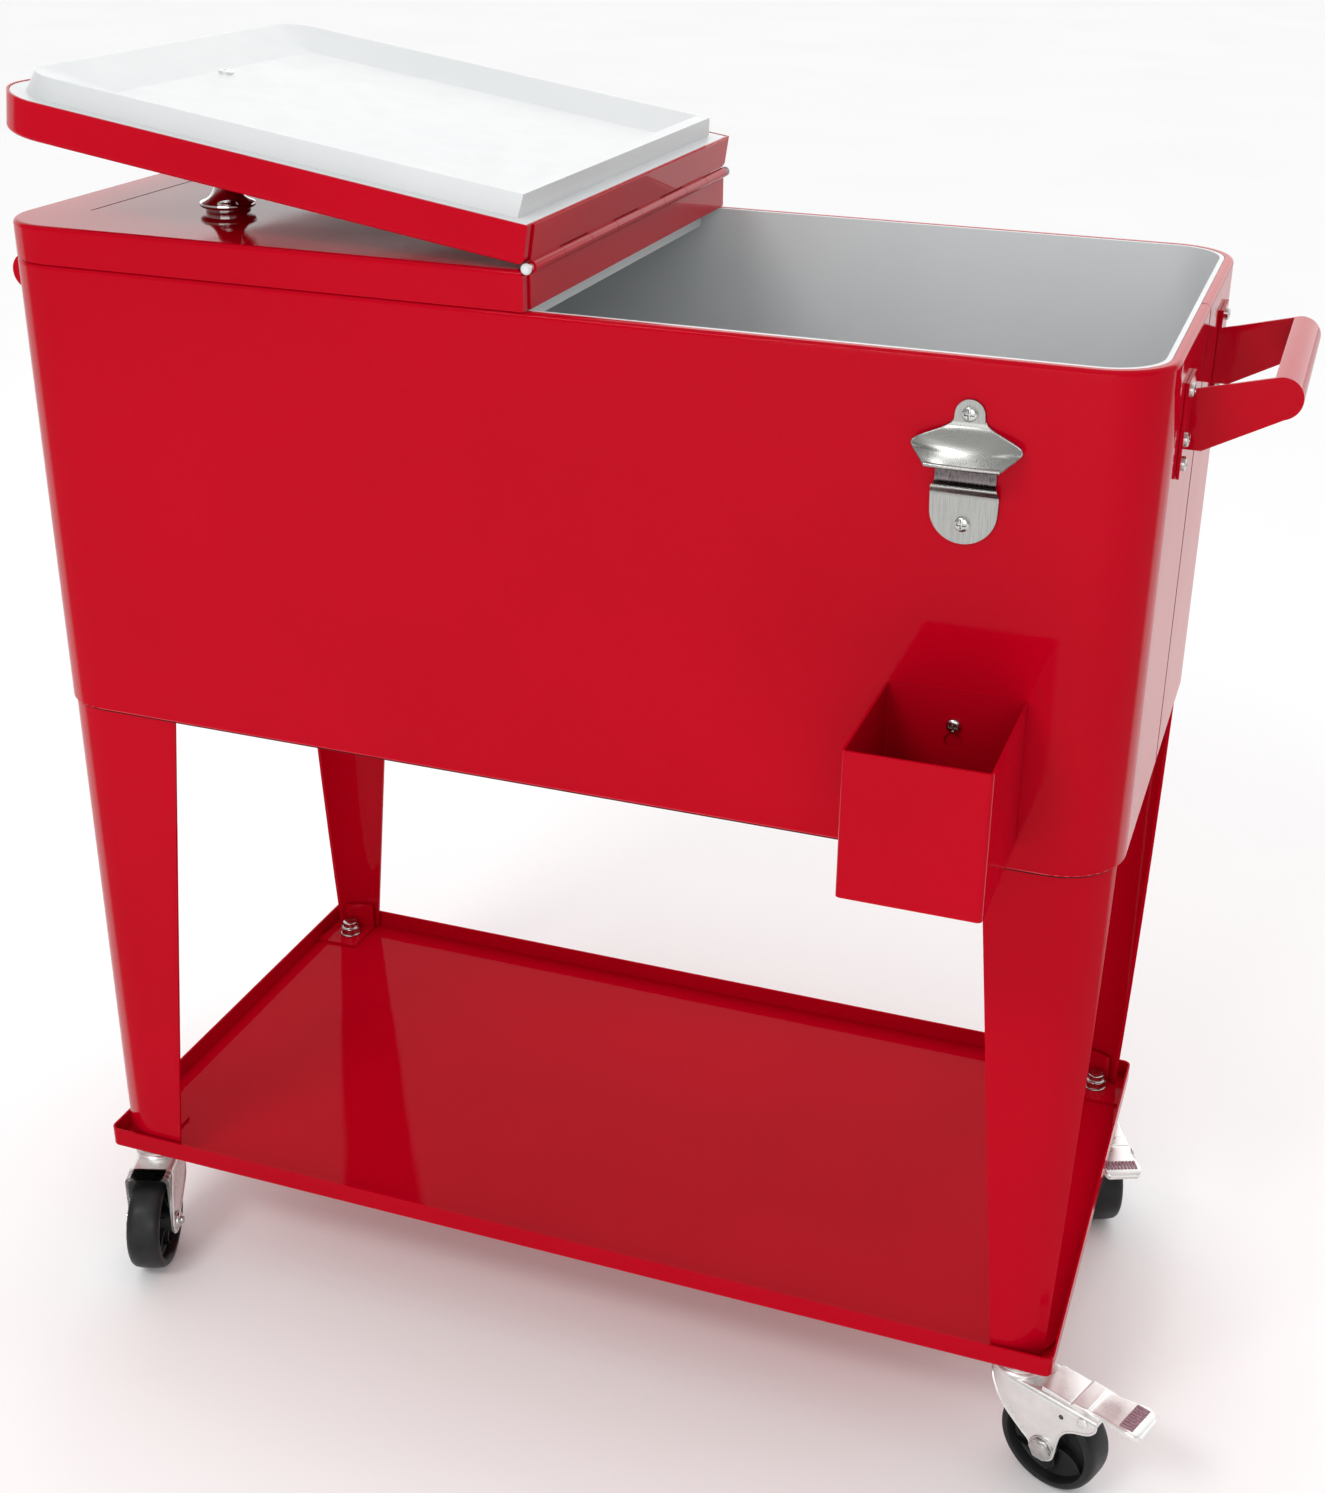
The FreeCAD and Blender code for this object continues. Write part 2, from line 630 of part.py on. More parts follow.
def cap_catcher():
    """A folded box, open at the top, that hangs on a screw by a keyhole in its back."""
    x, half, skin = S.catcher_x, S.catcher_half, S.sheet
    back = -S.tub_half_y - S.catcher_gap
    front = back - S.catcher_depth
    low, high = S.catcher_low_z, S.catcher_high_z
    outer = rounded(block((x - half, front, low), (x + half, back, high)), upright_edges(3))
    inner = block((x - half + skin, front + skin, low + skin), (x + half - skin, back - skin, high + 1))
    inner = rounded(inner, upright_edges(1.5))
    hang, slot = S.catcher_screw_z, S.screw + 0.4
    key = fuse(rod(S.screw_head + 1.2, 6, (x, back - 3, hang - S.catcher_lift), "y"),
               rod(slot, 6, (x, back - 3, hang), "y"),
               block((x - slot, back - 3, hang - S.catcher_lift), (x + slot, back + 3, hang)))
    return cut(outer, inner, key)


def front_fittings():
    finish("opener", opener())
    plate = -S.tub_half_y - 0.1 - S.opener_sheet
    catcher_face = -S.tub_half_y - S.catcher_gap - S.sheet - 0.5
    finish("opener_screws", fuse(front_screw(S.opener_x, S.opener_top_screw_z, plate),
                                 front_screw(S.opener_x, S.opener_low_screw_z, plate)))
    finish("catcher_screw", front_screw(S.catcher_x, S.catcher_screw_z, catcher_face))
    finish("cap_catcher", cap_catcher())


# ---------------------------------------------------------------- stand

CORNERS = dict(front_left=(-1, -1), front_right=(1, -1), back_left=(-1, 1), back_right=(1, 1))


def to_corner(piece, corner):
    """Mirrors a piece drawn at the front right corner to another corner."""
    end, side = CORNERS[corner]
    if end < 0:
        piece = mirrored(piece, Vector(1, 0, 0))
    if side > 0:
        piece = mirrored(piece, Vector(0, 1, 0))
    return piece


def corner_sheet(inset, start_x, back_y, low_z, high_z):
    """Sheet bent round the front right corner, parallel to the tub wall."""
    def solid(margin):
        piece = block((start_x, -S.tub_half_y + margin, low_z), (S.tub_half_x - margin, -back_y, high_z))
        return rounded(piece, upright_edges(S.tub_corner - margin, at_outer_corner))
    return cut(solid(inset), solid(inset + S.leg_sheet))


def at_outer_corner(point):
    return point.x > DIMENSIONS["tub_half_x"] - 15 and point.y < -DIMENSIONS["tub_half_y"] + 15


def leg_bolt_place():
    return S.narrow_top_x + 35, -S.tub_half_y + 22


def leg_bolt_holes():
    x, y = leg_bolt_place()
    return [rod(3.2, 30, (end * x, side * y, S.tub_bottom_z - 10)) for end, side in CORNERS.values()]


def leg(wide):
    """A tapering sheet leg: a front flange, a rounded corner, and a tab bolted to the pan."""
    top, low, lip = S.pan_z - 0.2, S.leg_low_z, S.tray_under_z + S.tray_lip + 0.4
    within = S.tray_half_x - S.sheet - 0.4
    top_x, low_x = (S.wide_top_x, S.wide_low_x) if wide else (S.narrow_top_x, S.narrow_low_x)
    bent = corner_sheet(S.leg_inset, S.wide_top_x - 5, S.leg_back_top - 15, low - 1, top)
    front = front_profile([(top_x, top), (low_x, low), (within, low), (within, lip),
                           (S.tub_half_x, lip), (S.tub_half_x, top)], -S.tub_half_y, -S.leg_back_top + 15)
    side = side_profile([(-S.tub_half_y, low - 1), (-S.leg_back_low, low - 1), (-S.leg_back_top, top),
                         (-S.tub_half_y, top)], S.wide_top_x - 10, S.tub_half_x)
    x, y = leg_bolt_place()
    tab = block((x - 11, -S.tub_half_y + S.leg_inset + 1, top - S.leg_sheet), (x + 11, y + 11, top))
    return cut(fuse(common(common(bent, front), side), tab), rod(3.2, 30, (x, y, top - 15)))


def foot():
    """The bracket in the leg's corner that sits on the tray under the caster's nut."""
    low = S.tray_under_z + S.sheet + 0.1
    bent = corner_sheet(S.foot_inset, S.foot_x, S.foot_back_y, low, low + S.foot_height)
    keep = block((S.foot_x, -S.tub_half_y, low - 1),
                 (S.tub_half_x, -S.leg_back_low, low + S.foot_height + 1))
    plate = block((S.foot_x, -S.tub_half_y + S.foot_inset, low),
                  (S.tub_half_x - S.foot_inset, -S.foot_back_y, low + 2))
    plate = rounded(plate, upright_edges(S.tub_corner - S.foot_inset, at_outer_corner))
    hole = rod(S.stem + 0.3, 20, (S.caster_x, -S.caster_y, low - 5))
    return cut(fuse(common(bent, keep), plate), hole)


def tray():
    """The shelf: a flat floor with an upright lip all round."""
    low = S.tray_under_z
    outer = round_cornered(S.tray_half_x, S.tray_half_y, S.tray_corner, low, low + S.tray_lip)
    outer = rounded(outer, level_edges(1.2, low))
    inner = round_cornered(S.tray_half_x - S.sheet, S.tray_half_y - S.sheet, S.tray_corner - S.sheet,
                           low + S.sheet, low + S.tray_lip + 1)
    holes = [rod(S.stem + 0.3, 20, (end * S.caster_x, side * S.caster_y, low - 5))
             for end, side in CORNERS.values()]
    return cut(outer, inner, *holes)


def stand():
    bolts, nuts = [], []
    x, y = leg_bolt_place()
    nut_z = S.tray_under_z + S.sheet + 2.2
    for corner, (end, side) in CORNERS.items():
        finish(f"{corner}_leg", to_corner(leg(corner in WIDE_LEGS), corner))
        finish(f"{corner}_foot", to_corner(foot(), corner))
        tab_under = S.pan_z - 0.2 - S.leg_sheet
        bolts.append(fuse(hexagon(5.5, 4, (end * x, side * y, tab_under - 4)),
                          rod(3, 7, (end * x, side * y, tab_under - 1))))
        at_x, at_y = end * S.caster_x, side * S.caster_y
        nut = fuse(hexagon(9, 7, (at_x, at_y, nut_z)), rod(7, 12, (at_x, at_y, nut_z)))
        nuts.append(cut(nut, rod(S.stem + 0.05, 10, (at_x, at_y, nut_z - 1))))
    finish("leg_bolts", fuse(*bolts))
    finish("stem_nuts", fuse(*nuts))
    finish("tray", tray())


# ---------------------------------------------------------------- casters, drawn with the swivel axis
# at the origin, the tray's underside at z = 0 and the wheel trailing along +X


def caster_stem():
    """The threaded stem and the upper cup of the swivel bearing."""
    return turned([(0, -9), (16, -9), (17.5, -7.5), (17.5, -5.5), (16, -4.5), (18.5, -3), (18.5, -0.1),
                   (S.stem, -0.1), (S.stem, 12), (0, 12)])


def axle_z():
    return S.wheel_radius - S.tray_under_z


def caster_fork(braked):
    """The swivel's lower cup, a crown plate and two drop-shaped side plates."""
    trail, half, skin = S.caster_trail, S.fork_half, S.fork_sheet
    cup = turned([(0, -16.4), (17, -16.4), (18.5, -14), (18.5, -11), (17, -9.3), (0, -9.3)])
    crown_end = 34 if braked else 27
    pieces = [cup, block((-16, -half, -16.6), (crown_end, half, -14.4))]
    drop = [(trail + 8.9, axle_z() + 3), (trail + 6, axle_z() - 6.6),
            (trail - 6, axle_z() - 6.6), (trail - 8.9, axle_z() + 2)]
    arm = [(68, -14.4), (68, -22), (58, -29)] if braked else [(crown_end, -14.4)]
    for low in (-half, half - skin):
        pieces.append(front_profile([(-16, -14.4)] + arm + drop, low, low + skin))
        pieces.append(rod(9, skin, (trail, low, axle_z()), "y"))
    holes = [rod(S.axle_bore, half * 2 + 4, (trail, -half - 2, axle_z()), "y")]
    if braked:
        holes.append(rod(2.6, half * 2 + 4, (S.pivot_x, -half - 2, S.pivot_z), "y"))
    return cut(fuse(*pieces), *holes)


def caster_axle():
    trail, half = S.caster_trail, S.fork_half
    reach = half + 0.1
    return fuse(rod(S.axle, reach * 2, (trail, -reach, axle_z()), "y"),
                hexagon(7, 4, (trail, -reach - 4, axle_z()), "y"),
                rod(6.5, 3, (trail, reach, axle_z()), "y"),
                rod(3, 5.5, (trail, reach, axle_z()), "y"))


def caster_wheel():
    """A moulded wheel: rounded tread, recessed web with five windows, and a hub."""
    radius, half = S.wheel_radius, S.wheel_half
    hub = S.fork_half - S.fork_sheet - 0.5
    profile = [(S.axle_bore, -hub), (9, -hub), (10, -4), (28, -4), (30, -half), (radius - 2.5, -half),
               (radius, -half + 3.5), (radius, half - 3.5), (radius - 2.5, half), (30, half), (28, 4),
               (10, 4), (9, hub), (S.axle_bore, hub)]
    windows = []
    for step in range(5):
        angle = math.radians(72 * step)
        windows.append(rod(5, 20, (19 * math.cos(angle), 19 * math.sin(angle), -10)))
    return cut(turned(profile), *windows)


def brake_pedal():
    """The foot pedal: a folded top plate, two cheeks on the pivot, and a shoe behind the tread."""
    half = S.fork_half - S.fork_sheet - 0.6
    plate = front_profile([(26, -11.4), (48, -12), (50, -10.8), (92, -8), (97, -9.5), (98.5, -12),
                           (98.5, -14.2), (96.7, -14.2), (96.4, -12.4), (91.5, -10.1), (50.2, -12.9),
                           (48, -14.1), (26, -13.5)], -half, half)
    cheeks = [front_profile([(51, -12), (70, -11), (70, -20), (62, -24.5), (54, -22)], low, low + 1.8)
              for low in (-half, half - 1.8)]
    shoe = front_profile([(57, -12), (66, -11.4), (64, -31), (59, -31)], -8, 8)
    pivot = rod(2.56, half * 2 + 2, (S.pivot_x, -half - 1, S.pivot_z), "y")
    return cut(fuse(plate, shoe, *cheeks), pivot)


def brake_pin():
    half, x, z = S.fork_half, S.pivot_x, S.pivot_z
    return fuse(rod(2.5, half * 2, (x, -half, z), "y"),
                rod(4, 1.5, (x, -half - 1.5, z), "y"), rod(4, 1.5, (x, half, z), "y"))


def casters():
    for corner, (end, side) in CORNERS.items():
        at = Vector(end * number(S.caster_x), side * number(S.caster_y), number(S.tray_under_z))
        where = SHIFTED * Placement(at, Rotation(Vector(0, 0, 1), CASTER_ANGLES[corner]))
        hub = Placement(Vector(number(S.caster_trail), 0, number(axle_z())), TURNS["y"])
        braked = corner in BRAKED
        finish(f"{corner}_stem", caster_stem(), where)
        finish(f"{corner}_fork", caster_fork(braked), where)
        finish(f"{corner}_axle", caster_axle(), where)
        finish(f"{corner}_wheel", caster_wheel(), where * hub)
        if braked:
            finish(f"{corner}_pedal", brake_pedal(), where)
            finish(f"{corner}_pedal_pin", brake_pin(), where)


# ---------------------------------------------------------------- build, test, write

tub()
drain()
lids()
handles()
front_fittings()
stand()
casters()
doc.recompute()

for thing in doc.Objects:
    if {"Invalid", "Error"} & set(thing.State):
        raise RuntimeError(f"{thing.Name} ({thing.Label}) failed: {thing.State}")
os.makedirs("parts", exist_ok=True)
for label, feature in nodes.items():
    shape = feature.Shape
    if shape.isNull() or not shape.isValid() or not shape.Solids:
        raise RuntimeError(f"{label} has no valid solid")
    shape.exportStep(f"parts/{label}.step")
    print(f"{label}: {len(shape.Solids)} solid(s), {shape.Volume / 1000:.1f} cm3")
print(len(nodes), "sub-parts, moved back by", round(FRAME_SHIFT, 2))
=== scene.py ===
import json
import math

import bmesh
import bpy
from mathutils import Matrix, Vector


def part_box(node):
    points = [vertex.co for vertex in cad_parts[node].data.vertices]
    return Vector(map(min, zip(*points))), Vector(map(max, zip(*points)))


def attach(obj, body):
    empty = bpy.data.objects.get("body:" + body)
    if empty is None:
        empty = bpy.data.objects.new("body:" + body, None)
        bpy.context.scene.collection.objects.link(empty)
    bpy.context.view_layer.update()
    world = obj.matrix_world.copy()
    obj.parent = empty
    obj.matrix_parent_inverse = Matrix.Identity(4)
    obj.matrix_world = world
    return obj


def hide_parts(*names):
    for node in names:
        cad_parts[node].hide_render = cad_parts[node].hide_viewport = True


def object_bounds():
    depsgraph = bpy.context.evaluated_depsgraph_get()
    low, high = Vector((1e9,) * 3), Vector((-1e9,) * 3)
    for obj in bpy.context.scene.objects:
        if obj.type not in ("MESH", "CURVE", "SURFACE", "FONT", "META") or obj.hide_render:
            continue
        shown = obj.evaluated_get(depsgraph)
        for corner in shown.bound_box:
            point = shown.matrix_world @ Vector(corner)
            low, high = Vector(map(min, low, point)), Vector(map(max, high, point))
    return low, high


# The looks of a patio cooler cart. Units are metres, in the row frame: X along the tub towards the
# opener, Y towards the plain back, Z up from the floor.

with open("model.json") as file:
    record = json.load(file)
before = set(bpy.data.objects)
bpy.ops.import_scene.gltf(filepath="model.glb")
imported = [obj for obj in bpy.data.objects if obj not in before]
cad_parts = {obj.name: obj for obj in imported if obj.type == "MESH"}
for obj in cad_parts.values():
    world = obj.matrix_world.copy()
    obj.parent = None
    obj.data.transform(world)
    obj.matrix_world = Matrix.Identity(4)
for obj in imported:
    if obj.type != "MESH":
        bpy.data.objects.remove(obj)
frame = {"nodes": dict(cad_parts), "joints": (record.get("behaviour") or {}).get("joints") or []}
cad_low, cad_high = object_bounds()
cad_middle = (Vector(cad_low) + Vector(cad_high)) / 2
joints = {joint["name"]: joint for joint in frame["joints"]}
scene = bpy.context.scene

# sizes in mm
MM = 0.001
TUB_CORNER = 42
OPENER_SHEET = 1.9
SCREW_HEAD = 2.6
SCREW_SHANK = 2
AXLE_X, AXLE_Z = 32, -59.5
FORK_HALF = 17
ROLL = Matrix.Rotation(math.radians(-90), 4, "X")
UPRIGHT = Matrix.Rotation(math.radians(90), 4, "X")


# ---------------------------------------------------------------- materials


class Nodes:
    """A material's node tree with short calls for the nodes used here."""

    def __init__(self, name):
        self.material = bpy.data.materials.new(name)
        self.material.use_nodes = True
        self.tree = self.material.node_tree
        self.shader = self.tree.nodes["Principled BSDF"]
        self.where = self.tree.nodes.new("ShaderNodeTexCoord").outputs["Object"]

    def set(self, **sockets):
        for label, value in sockets.items():
            socket = self.shader.inputs[label.replace("_", " ")]
            if isinstance(value, bpy.types.NodeSocket):
                self.tree.links.new(value, socket)
            else:
                socket.default_value = value

    def stretched(self, factors):
        node = self.tree.nodes.new("ShaderNodeMapping")
        node.inputs["Scale"].default_value = factors
        self.tree.links.new(self.where, node.inputs["Vector"])
        return node.outputs["Vector"]

    def facing(self, *stops):
        """Greys by how squarely the surface is seen, for gloss: 0 square on, 1 at a grazing angle."""
        return self.ramp(self.tree.nodes.new("ShaderNodeLayerWeight").outputs["Facing"], *stops)

    def noise(self, scale, detail=2.0, vector=None, roughness=0.5):
        node = self.tree.nodes.new("ShaderNodeTexNoise")
        node.inputs["Scale"].default_value = scale
        node.inputs["Detail"].default_value = detail
        node.inputs["Roughness"].default_value = roughness
        self.tree.links.new(vector or self.where, node.inputs["Vector"])
        return node.outputs["Fac"]

    def ramp(self, factor, *stops):
        """Colours or greys at given positions along a factor."""
        node = self.tree.nodes.new("ShaderNodeValToRGB")
        elements = node.color_ramp.elements
        while len(elements) < len(stops):
            elements.new(0.5)
        for element, (position, colour) in zip(elements, stops):
            element.position = position
            grey = isinstance(colour, (int, float))
            element.color = (colour, colour, colour, 1) if grey else (*colour, 1)
        self.tree.links.new(factor, node.inputs["Fac"])
        return node.outputs["Color"]

    def bump(self, height, distance, strength=1.0, normal=None):
        node = self.tree.nodes.new("ShaderNodeBump")
        node.inputs["Strength"].default_value = strength
        node.inputs["Distance"].default_value = distance
        self.tree.links.new(height, node.inputs["Height"])
        if normal:
            self.tree.links.new(normal, node.inputs["Normal"])
        return node.outputs["Normal"]


def red_paint():
    """Glossy powder coat: deep red under a clear skin, with faint orange peel and panel waviness."""
    n = Nodes("red_powder_coat")
    waves = n.bump(n.noise(9, 1), 0.0016, 0.35)
    peel = n.bump(n.noise(650, 2), 0.00006, 0.35, waves)
    n.set(Base_Color=n.ramp(n.noise(6, 3), (0.3, (0.415, 0.0004, 0.009)), (0.7, (0.455, 0.0006, 0.011))),
          Roughness=n.ramp(n.noise(40, 4), (0.3, 0.30), (0.7, 0.40)),
          Normal=peel, Coat_Normal=peel, Coat_Weight=n.facing((0.535, 0.12), (0.60, 0.66)),
          Coat_Roughness=0.035, Coat_IOR=1.5, Specular_IOR_Level=0.0)
    return n.material


def white_plastic():
    n = Nodes("white_moulding")
    grain = n.bump(n.noise(1400, 2), 0.00005, 0.4, n.bump(n.noise(14, 1), 0.0016, 0.3))
    n.set(Base_Color=n.ramp(n.noise(8, 3), (0.3, (0.60, 0.62, 0.625)), (0.7, (0.64, 0.655, 0.66))),
          Roughness=n.ramp(n.noise(60, 3), (0.3, 0.32), (0.7, 0.42)),
          Normal=grain, Coat_Weight=0.25, Coat_Roughness=0.2)
    return n.material


def foam():
    n = Nodes("foam_core")
    cells = n.noise(900, 3)
    n.set(Base_Color=n.ramp(cells, (0.3, (0.72, 0.62, 0.36)), (0.7, (0.86, 0.78, 0.52))),
          Roughness=0.9, Normal=n.bump(cells, 0.0006, 0.8))
    return n.material


def brushed_stainless():
    """Sheet stainless with fine brushing that runs up and down."""
    n = Nodes("brushed_stainless")
    lines = n.noise(1.0, 4, n.stretched((3200, 3200, 60)))
    n.set(Base_Color=n.ramp(lines, (0.3, (0.27, 0.27, 0.26)), (0.7, (0.38, 0.38, 0.365))),
          Metallic=1.0, Roughness=n.ramp(lines, (0.3, 0.22), (0.7, 0.36)),
          Normal=n.bump(lines, 0.00002, 0.5))
    return n.material


def bright_metal():
    n = Nodes("polished_chrome")
    n.set(Base_Color=n.ramp(n.noise(30, 2), (0.3, (0.66, 0.65, 0.64)), (0.7, (0.74, 0.73, 0.72))),
          Metallic=1.0, Roughness=n.ramp(n.noise(90, 3), (0.3, 0.05), (0.7, 0.10)),
          Normal=n.bump(n.noise(160, 2), 0.00003, 0.3))
    return n.material


def zinc():
    """Bright zinc plating on pressed steel: pale and half mirror, with a soft cloudy grain."""
    n = Nodes("zinc_plate")
    cloud = n.noise(70, 5)
    n.set(Base_Color=n.ramp(cloud, (0.3, (0.74, 0.74, 0.73)), (0.7, (0.86, 0.86, 0.84))),
          Metallic=0.75, Roughness=n.ramp(cloud, (0.3, 0.24), (0.7, 0.38)),
          Normal=n.bump(n.noise(500, 3), 0.00003, 0.5, n.bump(n.noise(45, 2), 0.0003, 0.25)))
    return n.material


def black_wheel():
    n = Nodes("black_wheel_plastic")
    grain = n.noise(900, 3)
    n.set(Base_Color=n.ramp(n.noise(60, 5), (0.35, (0.005, 0.0055, 0.006)), (0.75, (0.014, 0.015, 0.016))),
          Roughness=n.ramp(n.noise(80, 5), (0.3, 0.34), (0.7, 0.55)),
          Normal=n.bump(grain, 0.00008, 0.6), Specular_IOR_Level=0.3)
    return n.material


def black_plastic():
    n = Nodes("black_cap_plastic")
    n.set(Base_Color=n.ramp(n.noise(40, 3), (0.3, (0.012, 0.012, 0.013)), (0.7, (0.020, 0.020, 0.021))),
          Roughness=n.ramp(n.noise(200, 3), (0.3, 0.35), (0.7, 0.5)),
          Normal=n.bump(n.noise(1200, 2), 0.00005, 0.5))
    return n.material


def pale_floor():
    n = Nodes("pale_floor")
    n.set(Base_Color=n.ramp(n.noise(1.5, 2), (0.3, 0.94), (0.7, 0.96)), Roughness=0.85,
          Specular_IOR_Level=0.2)
    return n.material


def mauve_grip():
    """The pedal's grip ribs: darker plating whose mauve tint is a painted reflection of the red paint above
    them.
    """
    n = Nodes("mauve_grip")
    n.set(Base_Color=n.ramp(n.noise(900, 3), (0.3, (0.20, 0.09, 0.12)), (0.7, (0.40, 0.24, 0.28))),
          Metallic=0.4, Roughness=0.5)
    return n.material


def bolt_zinc():
    """Harder, shinier plating on the turned bolts, nuts and screw heads."""
    n = Nodes("bolt_zinc")
    cloud = n.noise(220, 4)
    n.set(Base_Color=n.ramp(cloud, (0.3, (0.42, 0.42, 0.41)), (0.7, (0.60, 0.60, 0.58))),
          Metallic=1.0, Roughness=n.ramp(cloud, (0.3, 0.14), (0.7, 0.26)),
          Normal=n.bump(n.noise(900, 3), 0.00002, 0.5))
    return n.material


def painted_shade_throat():
    """Painted shade inside the opener's mouth: dark metal that stands in for the shadow under the hood's lip,
    with fine cap scratches.
    """
    n = Nodes("painted_shade_throat")
    lines = n.noise(1.0, 4, n.stretched((900, 60, 200)))
    n.set(Base_Color=n.ramp(lines, (0.3, (0.055, 0.045, 0.045)), (0.7, (0.17, 0.15, 0.15))),
          Metallic=1.0, Roughness=n.ramp(lines, (0.3, 0.2), (0.7, 0.4)))
    return n.material


def dark_seam_and_painted_shadow():
    """Shadowed paint in the joint between the two halves of the tub, and the painted shadow line under the
    tub's lower edge against the legs.
    """
    n = Nodes("dark_seam_and_painted_shadow")
    n.set(Base_Color=n.ramp(n.noise(300, 2), (0.3, (0.045, 0.004, 0.005)), (0.7, (0.075, 0.008, 0.009))),
          Roughness=0.6, Specular_IOR_Level=0.1)
    return n.material


def hem_painted_highlight():
    """Painted highlight: a brighter red than the body paint on the tub's lower sheet edge, standing in for
    the light that the edge catches.
    """
    n = Nodes("hem_painted_highlight")
    n.set(Base_Color=n.ramp(n.noise(80, 2), (0.3, (0.54, 0.008, 0.024)), (0.7, (0.72, 0.05, 0.08))),
          Roughness=0.3, Coat_Weight=1.0, Coat_Roughness=0.05)
    return n.material


MAUVE, BOLT_ZINC = mauve_grip(), bolt_zinc()
MATERIALS = dict(
    red_paint=red_paint(), white_plastic=white_plastic(), foam=foam(),
    brushed_stainless=brushed_stainless(), bright_metal=bright_metal(), zinc=zinc(),
    black_wheel=black_wheel(), black_plastic=black_plastic(),
)


# ---------------------------------------------------------------- the CAD sub-parts


def soften_edges(piece, width, angle=40):
    """Rolls a piece's sharp edges over by a small radius."""
    bevel = piece.modifiers.new("edge_roll", "BEVEL")
    bevel.width = width
    bevel.segments = 2
    bevel.limit_method = "ANGLE"
    bevel.angle_limit = math.radians(angle)
    bevel.harden_normals = True


for name, node in frame["nodes"].items():
    slot = node.data.materials[0].name
    node.material_slots[0].link = "OBJECT"
    node.material_slots[0].material = MATERIALS[slot]


# ---------------------------------------------------------------- mesh building, sizes in mm


def smooth_line(points, steps=6, closed=False):
    """A Catmull-Rom line through 2-D or 3-D points."""
    knots = [Vector(p) for p in points]
    count = len(knots)
    line = []
    for k in range(count if closed else count - 1):
        at = [knots[(k + d) % count] if closed else knots[min(max(k + d, 0), count - 1)]
              for d in (-1, 0, 1, 2)]
        for step in range(steps):
            t = step / steps
            line.append(0.5 * (2 * at[1] + (at[2] - at[0]) * t
                               + (2 * at[0] - 5 * at[1] + 4 * at[2] - at[3]) * t ** 2
                               + (3 * at[1] - at[0] - 3 * at[2] + at[3]) * t ** 3))
    if not closed:
        line.append(knots[-1])
    return line


def arc(centre, radius, start, end, steps=8):
    """Points on part of a circle; angles in degrees."""
    angles = [math.radians(start + (end - start) * k / steps) for k in range(steps + 1)]
    return [(centre[0] + radius * math.cos(a), centre[1] + radius * math.sin(a)) for a in angles]


def skin(bm, rows, loop_rows=False, loop_columns=False):
    """Joins rows of equally many points into a surface; a single point closes a row's fan."""
    made = [[bm.verts.new(Vector(p) * MM) for p in row] for row in rows]
    pairs = list(zip(made, made[1:])) + ([(made[-1], made[0])] if loop_rows else [])
    for low, high in pairs:
        count = max(len(low), len(high))
        for k in range(count if loop_columns else count - 1):
            n = (k + 1) % count
            ring = [low[k % len(low)], low[n % len(low)], high[n % len(high)], high[k % len(high)]]
            ring = list(dict.fromkeys(ring))
            if len(ring) > 2:
                bm.faces.new(ring)


def lathe(bm, profile, turn=Matrix(), steps=48, closed=False):
    """Sweeps (radius, height) points round the Z axis of a placement given in mm."""
    rows = []
    for radius, height in profile:
        angles = [0] if radius < 1e-6 else [math.tau * k / steps for k in range(steps)]
        rows.append([turn @ Vector((radius * math.cos(a), radius * math.sin(a), height)) for a in angles])
    skin(bm, rows, loop_rows=closed, loop_columns=True)


def pin(bm, radius, low, high, turn, steps):
    """A plain round bar between two heights of a placement."""
    lathe(bm, [(0, low), (radius, low), (radius, high), (0, high)], turn, steps)


def plate(bm, outline, low, high, turn=Matrix()):
    """A flat plate from an (x, y) outline between two heights."""
    rings = [[bm.verts.new((turn @ Vector((p[0], p[1], z))) * MM) for p in outline] for z in (low, high)]
    count = len(outline)
    for k in range(count):
        n = (k + 1) % count
        bm.faces.new((rings[0][k], rings[0][n], rings[1][n], rings[1][k]))
    bm.faces.new(rings[0][::-1])
    bm.faces.new(rings[1])


def rail(bm, path, radius, steps=8):
    """A round bead along a 3-D path."""
    path = [Vector(p) for p in path]
    rows = []
    for k, point in enumerate(path):
        ahead = (path[min(k + 1, len(path) - 1)] - path[max(k - 1, 0)]).normalized()
        side = ahead.cross(Vector((0, 0, 1)))
        side = side.normalized() if side.length > 0.05 else ahead.cross(Vector((0, 1, 0))).normalized()
        up = side.cross(ahead)
        rows.append([point + radius * (math.cos(math.tau * j / steps) * side
                                       + math.sin(math.tau * j / steps) * up) for j in range(steps)])
    skin(bm, [[path[0]]] + rows + [[path[-1]]], loop_columns=True)


def channel(bm, stations, sheet, shoulder=3.0):
    """A pressed channel of sheet, open below. Stations are (x, half width, top, low edge)."""
    def section(x, half, top, low, inside):
        half, top = max(half - inside, 0.3), top - inside
        bend = min(shoulder, half * 0.9, max(top - low, 0.2) * 0.9)
        right = [(half, low)] + arc((half - bend, top - bend), bend, 0, 90, 5)
        across = right + [(0, top)] + [(-y, z) for y, z in reversed(right)]
        return [(x, y, z) for y, z in across]
    outer = [section(*s, 0) for s in stations]
    inner = [section(*s, sheet) for s in stations]
    skin(bm, outer)
    skin(bm, inner)
    for side in (0, -1):
        skin(bm, [[row[side] for row in outer], [row[side] for row in inner]])
    for end in (0, -1):
        skin(bm, [outer[end], inner[end]])


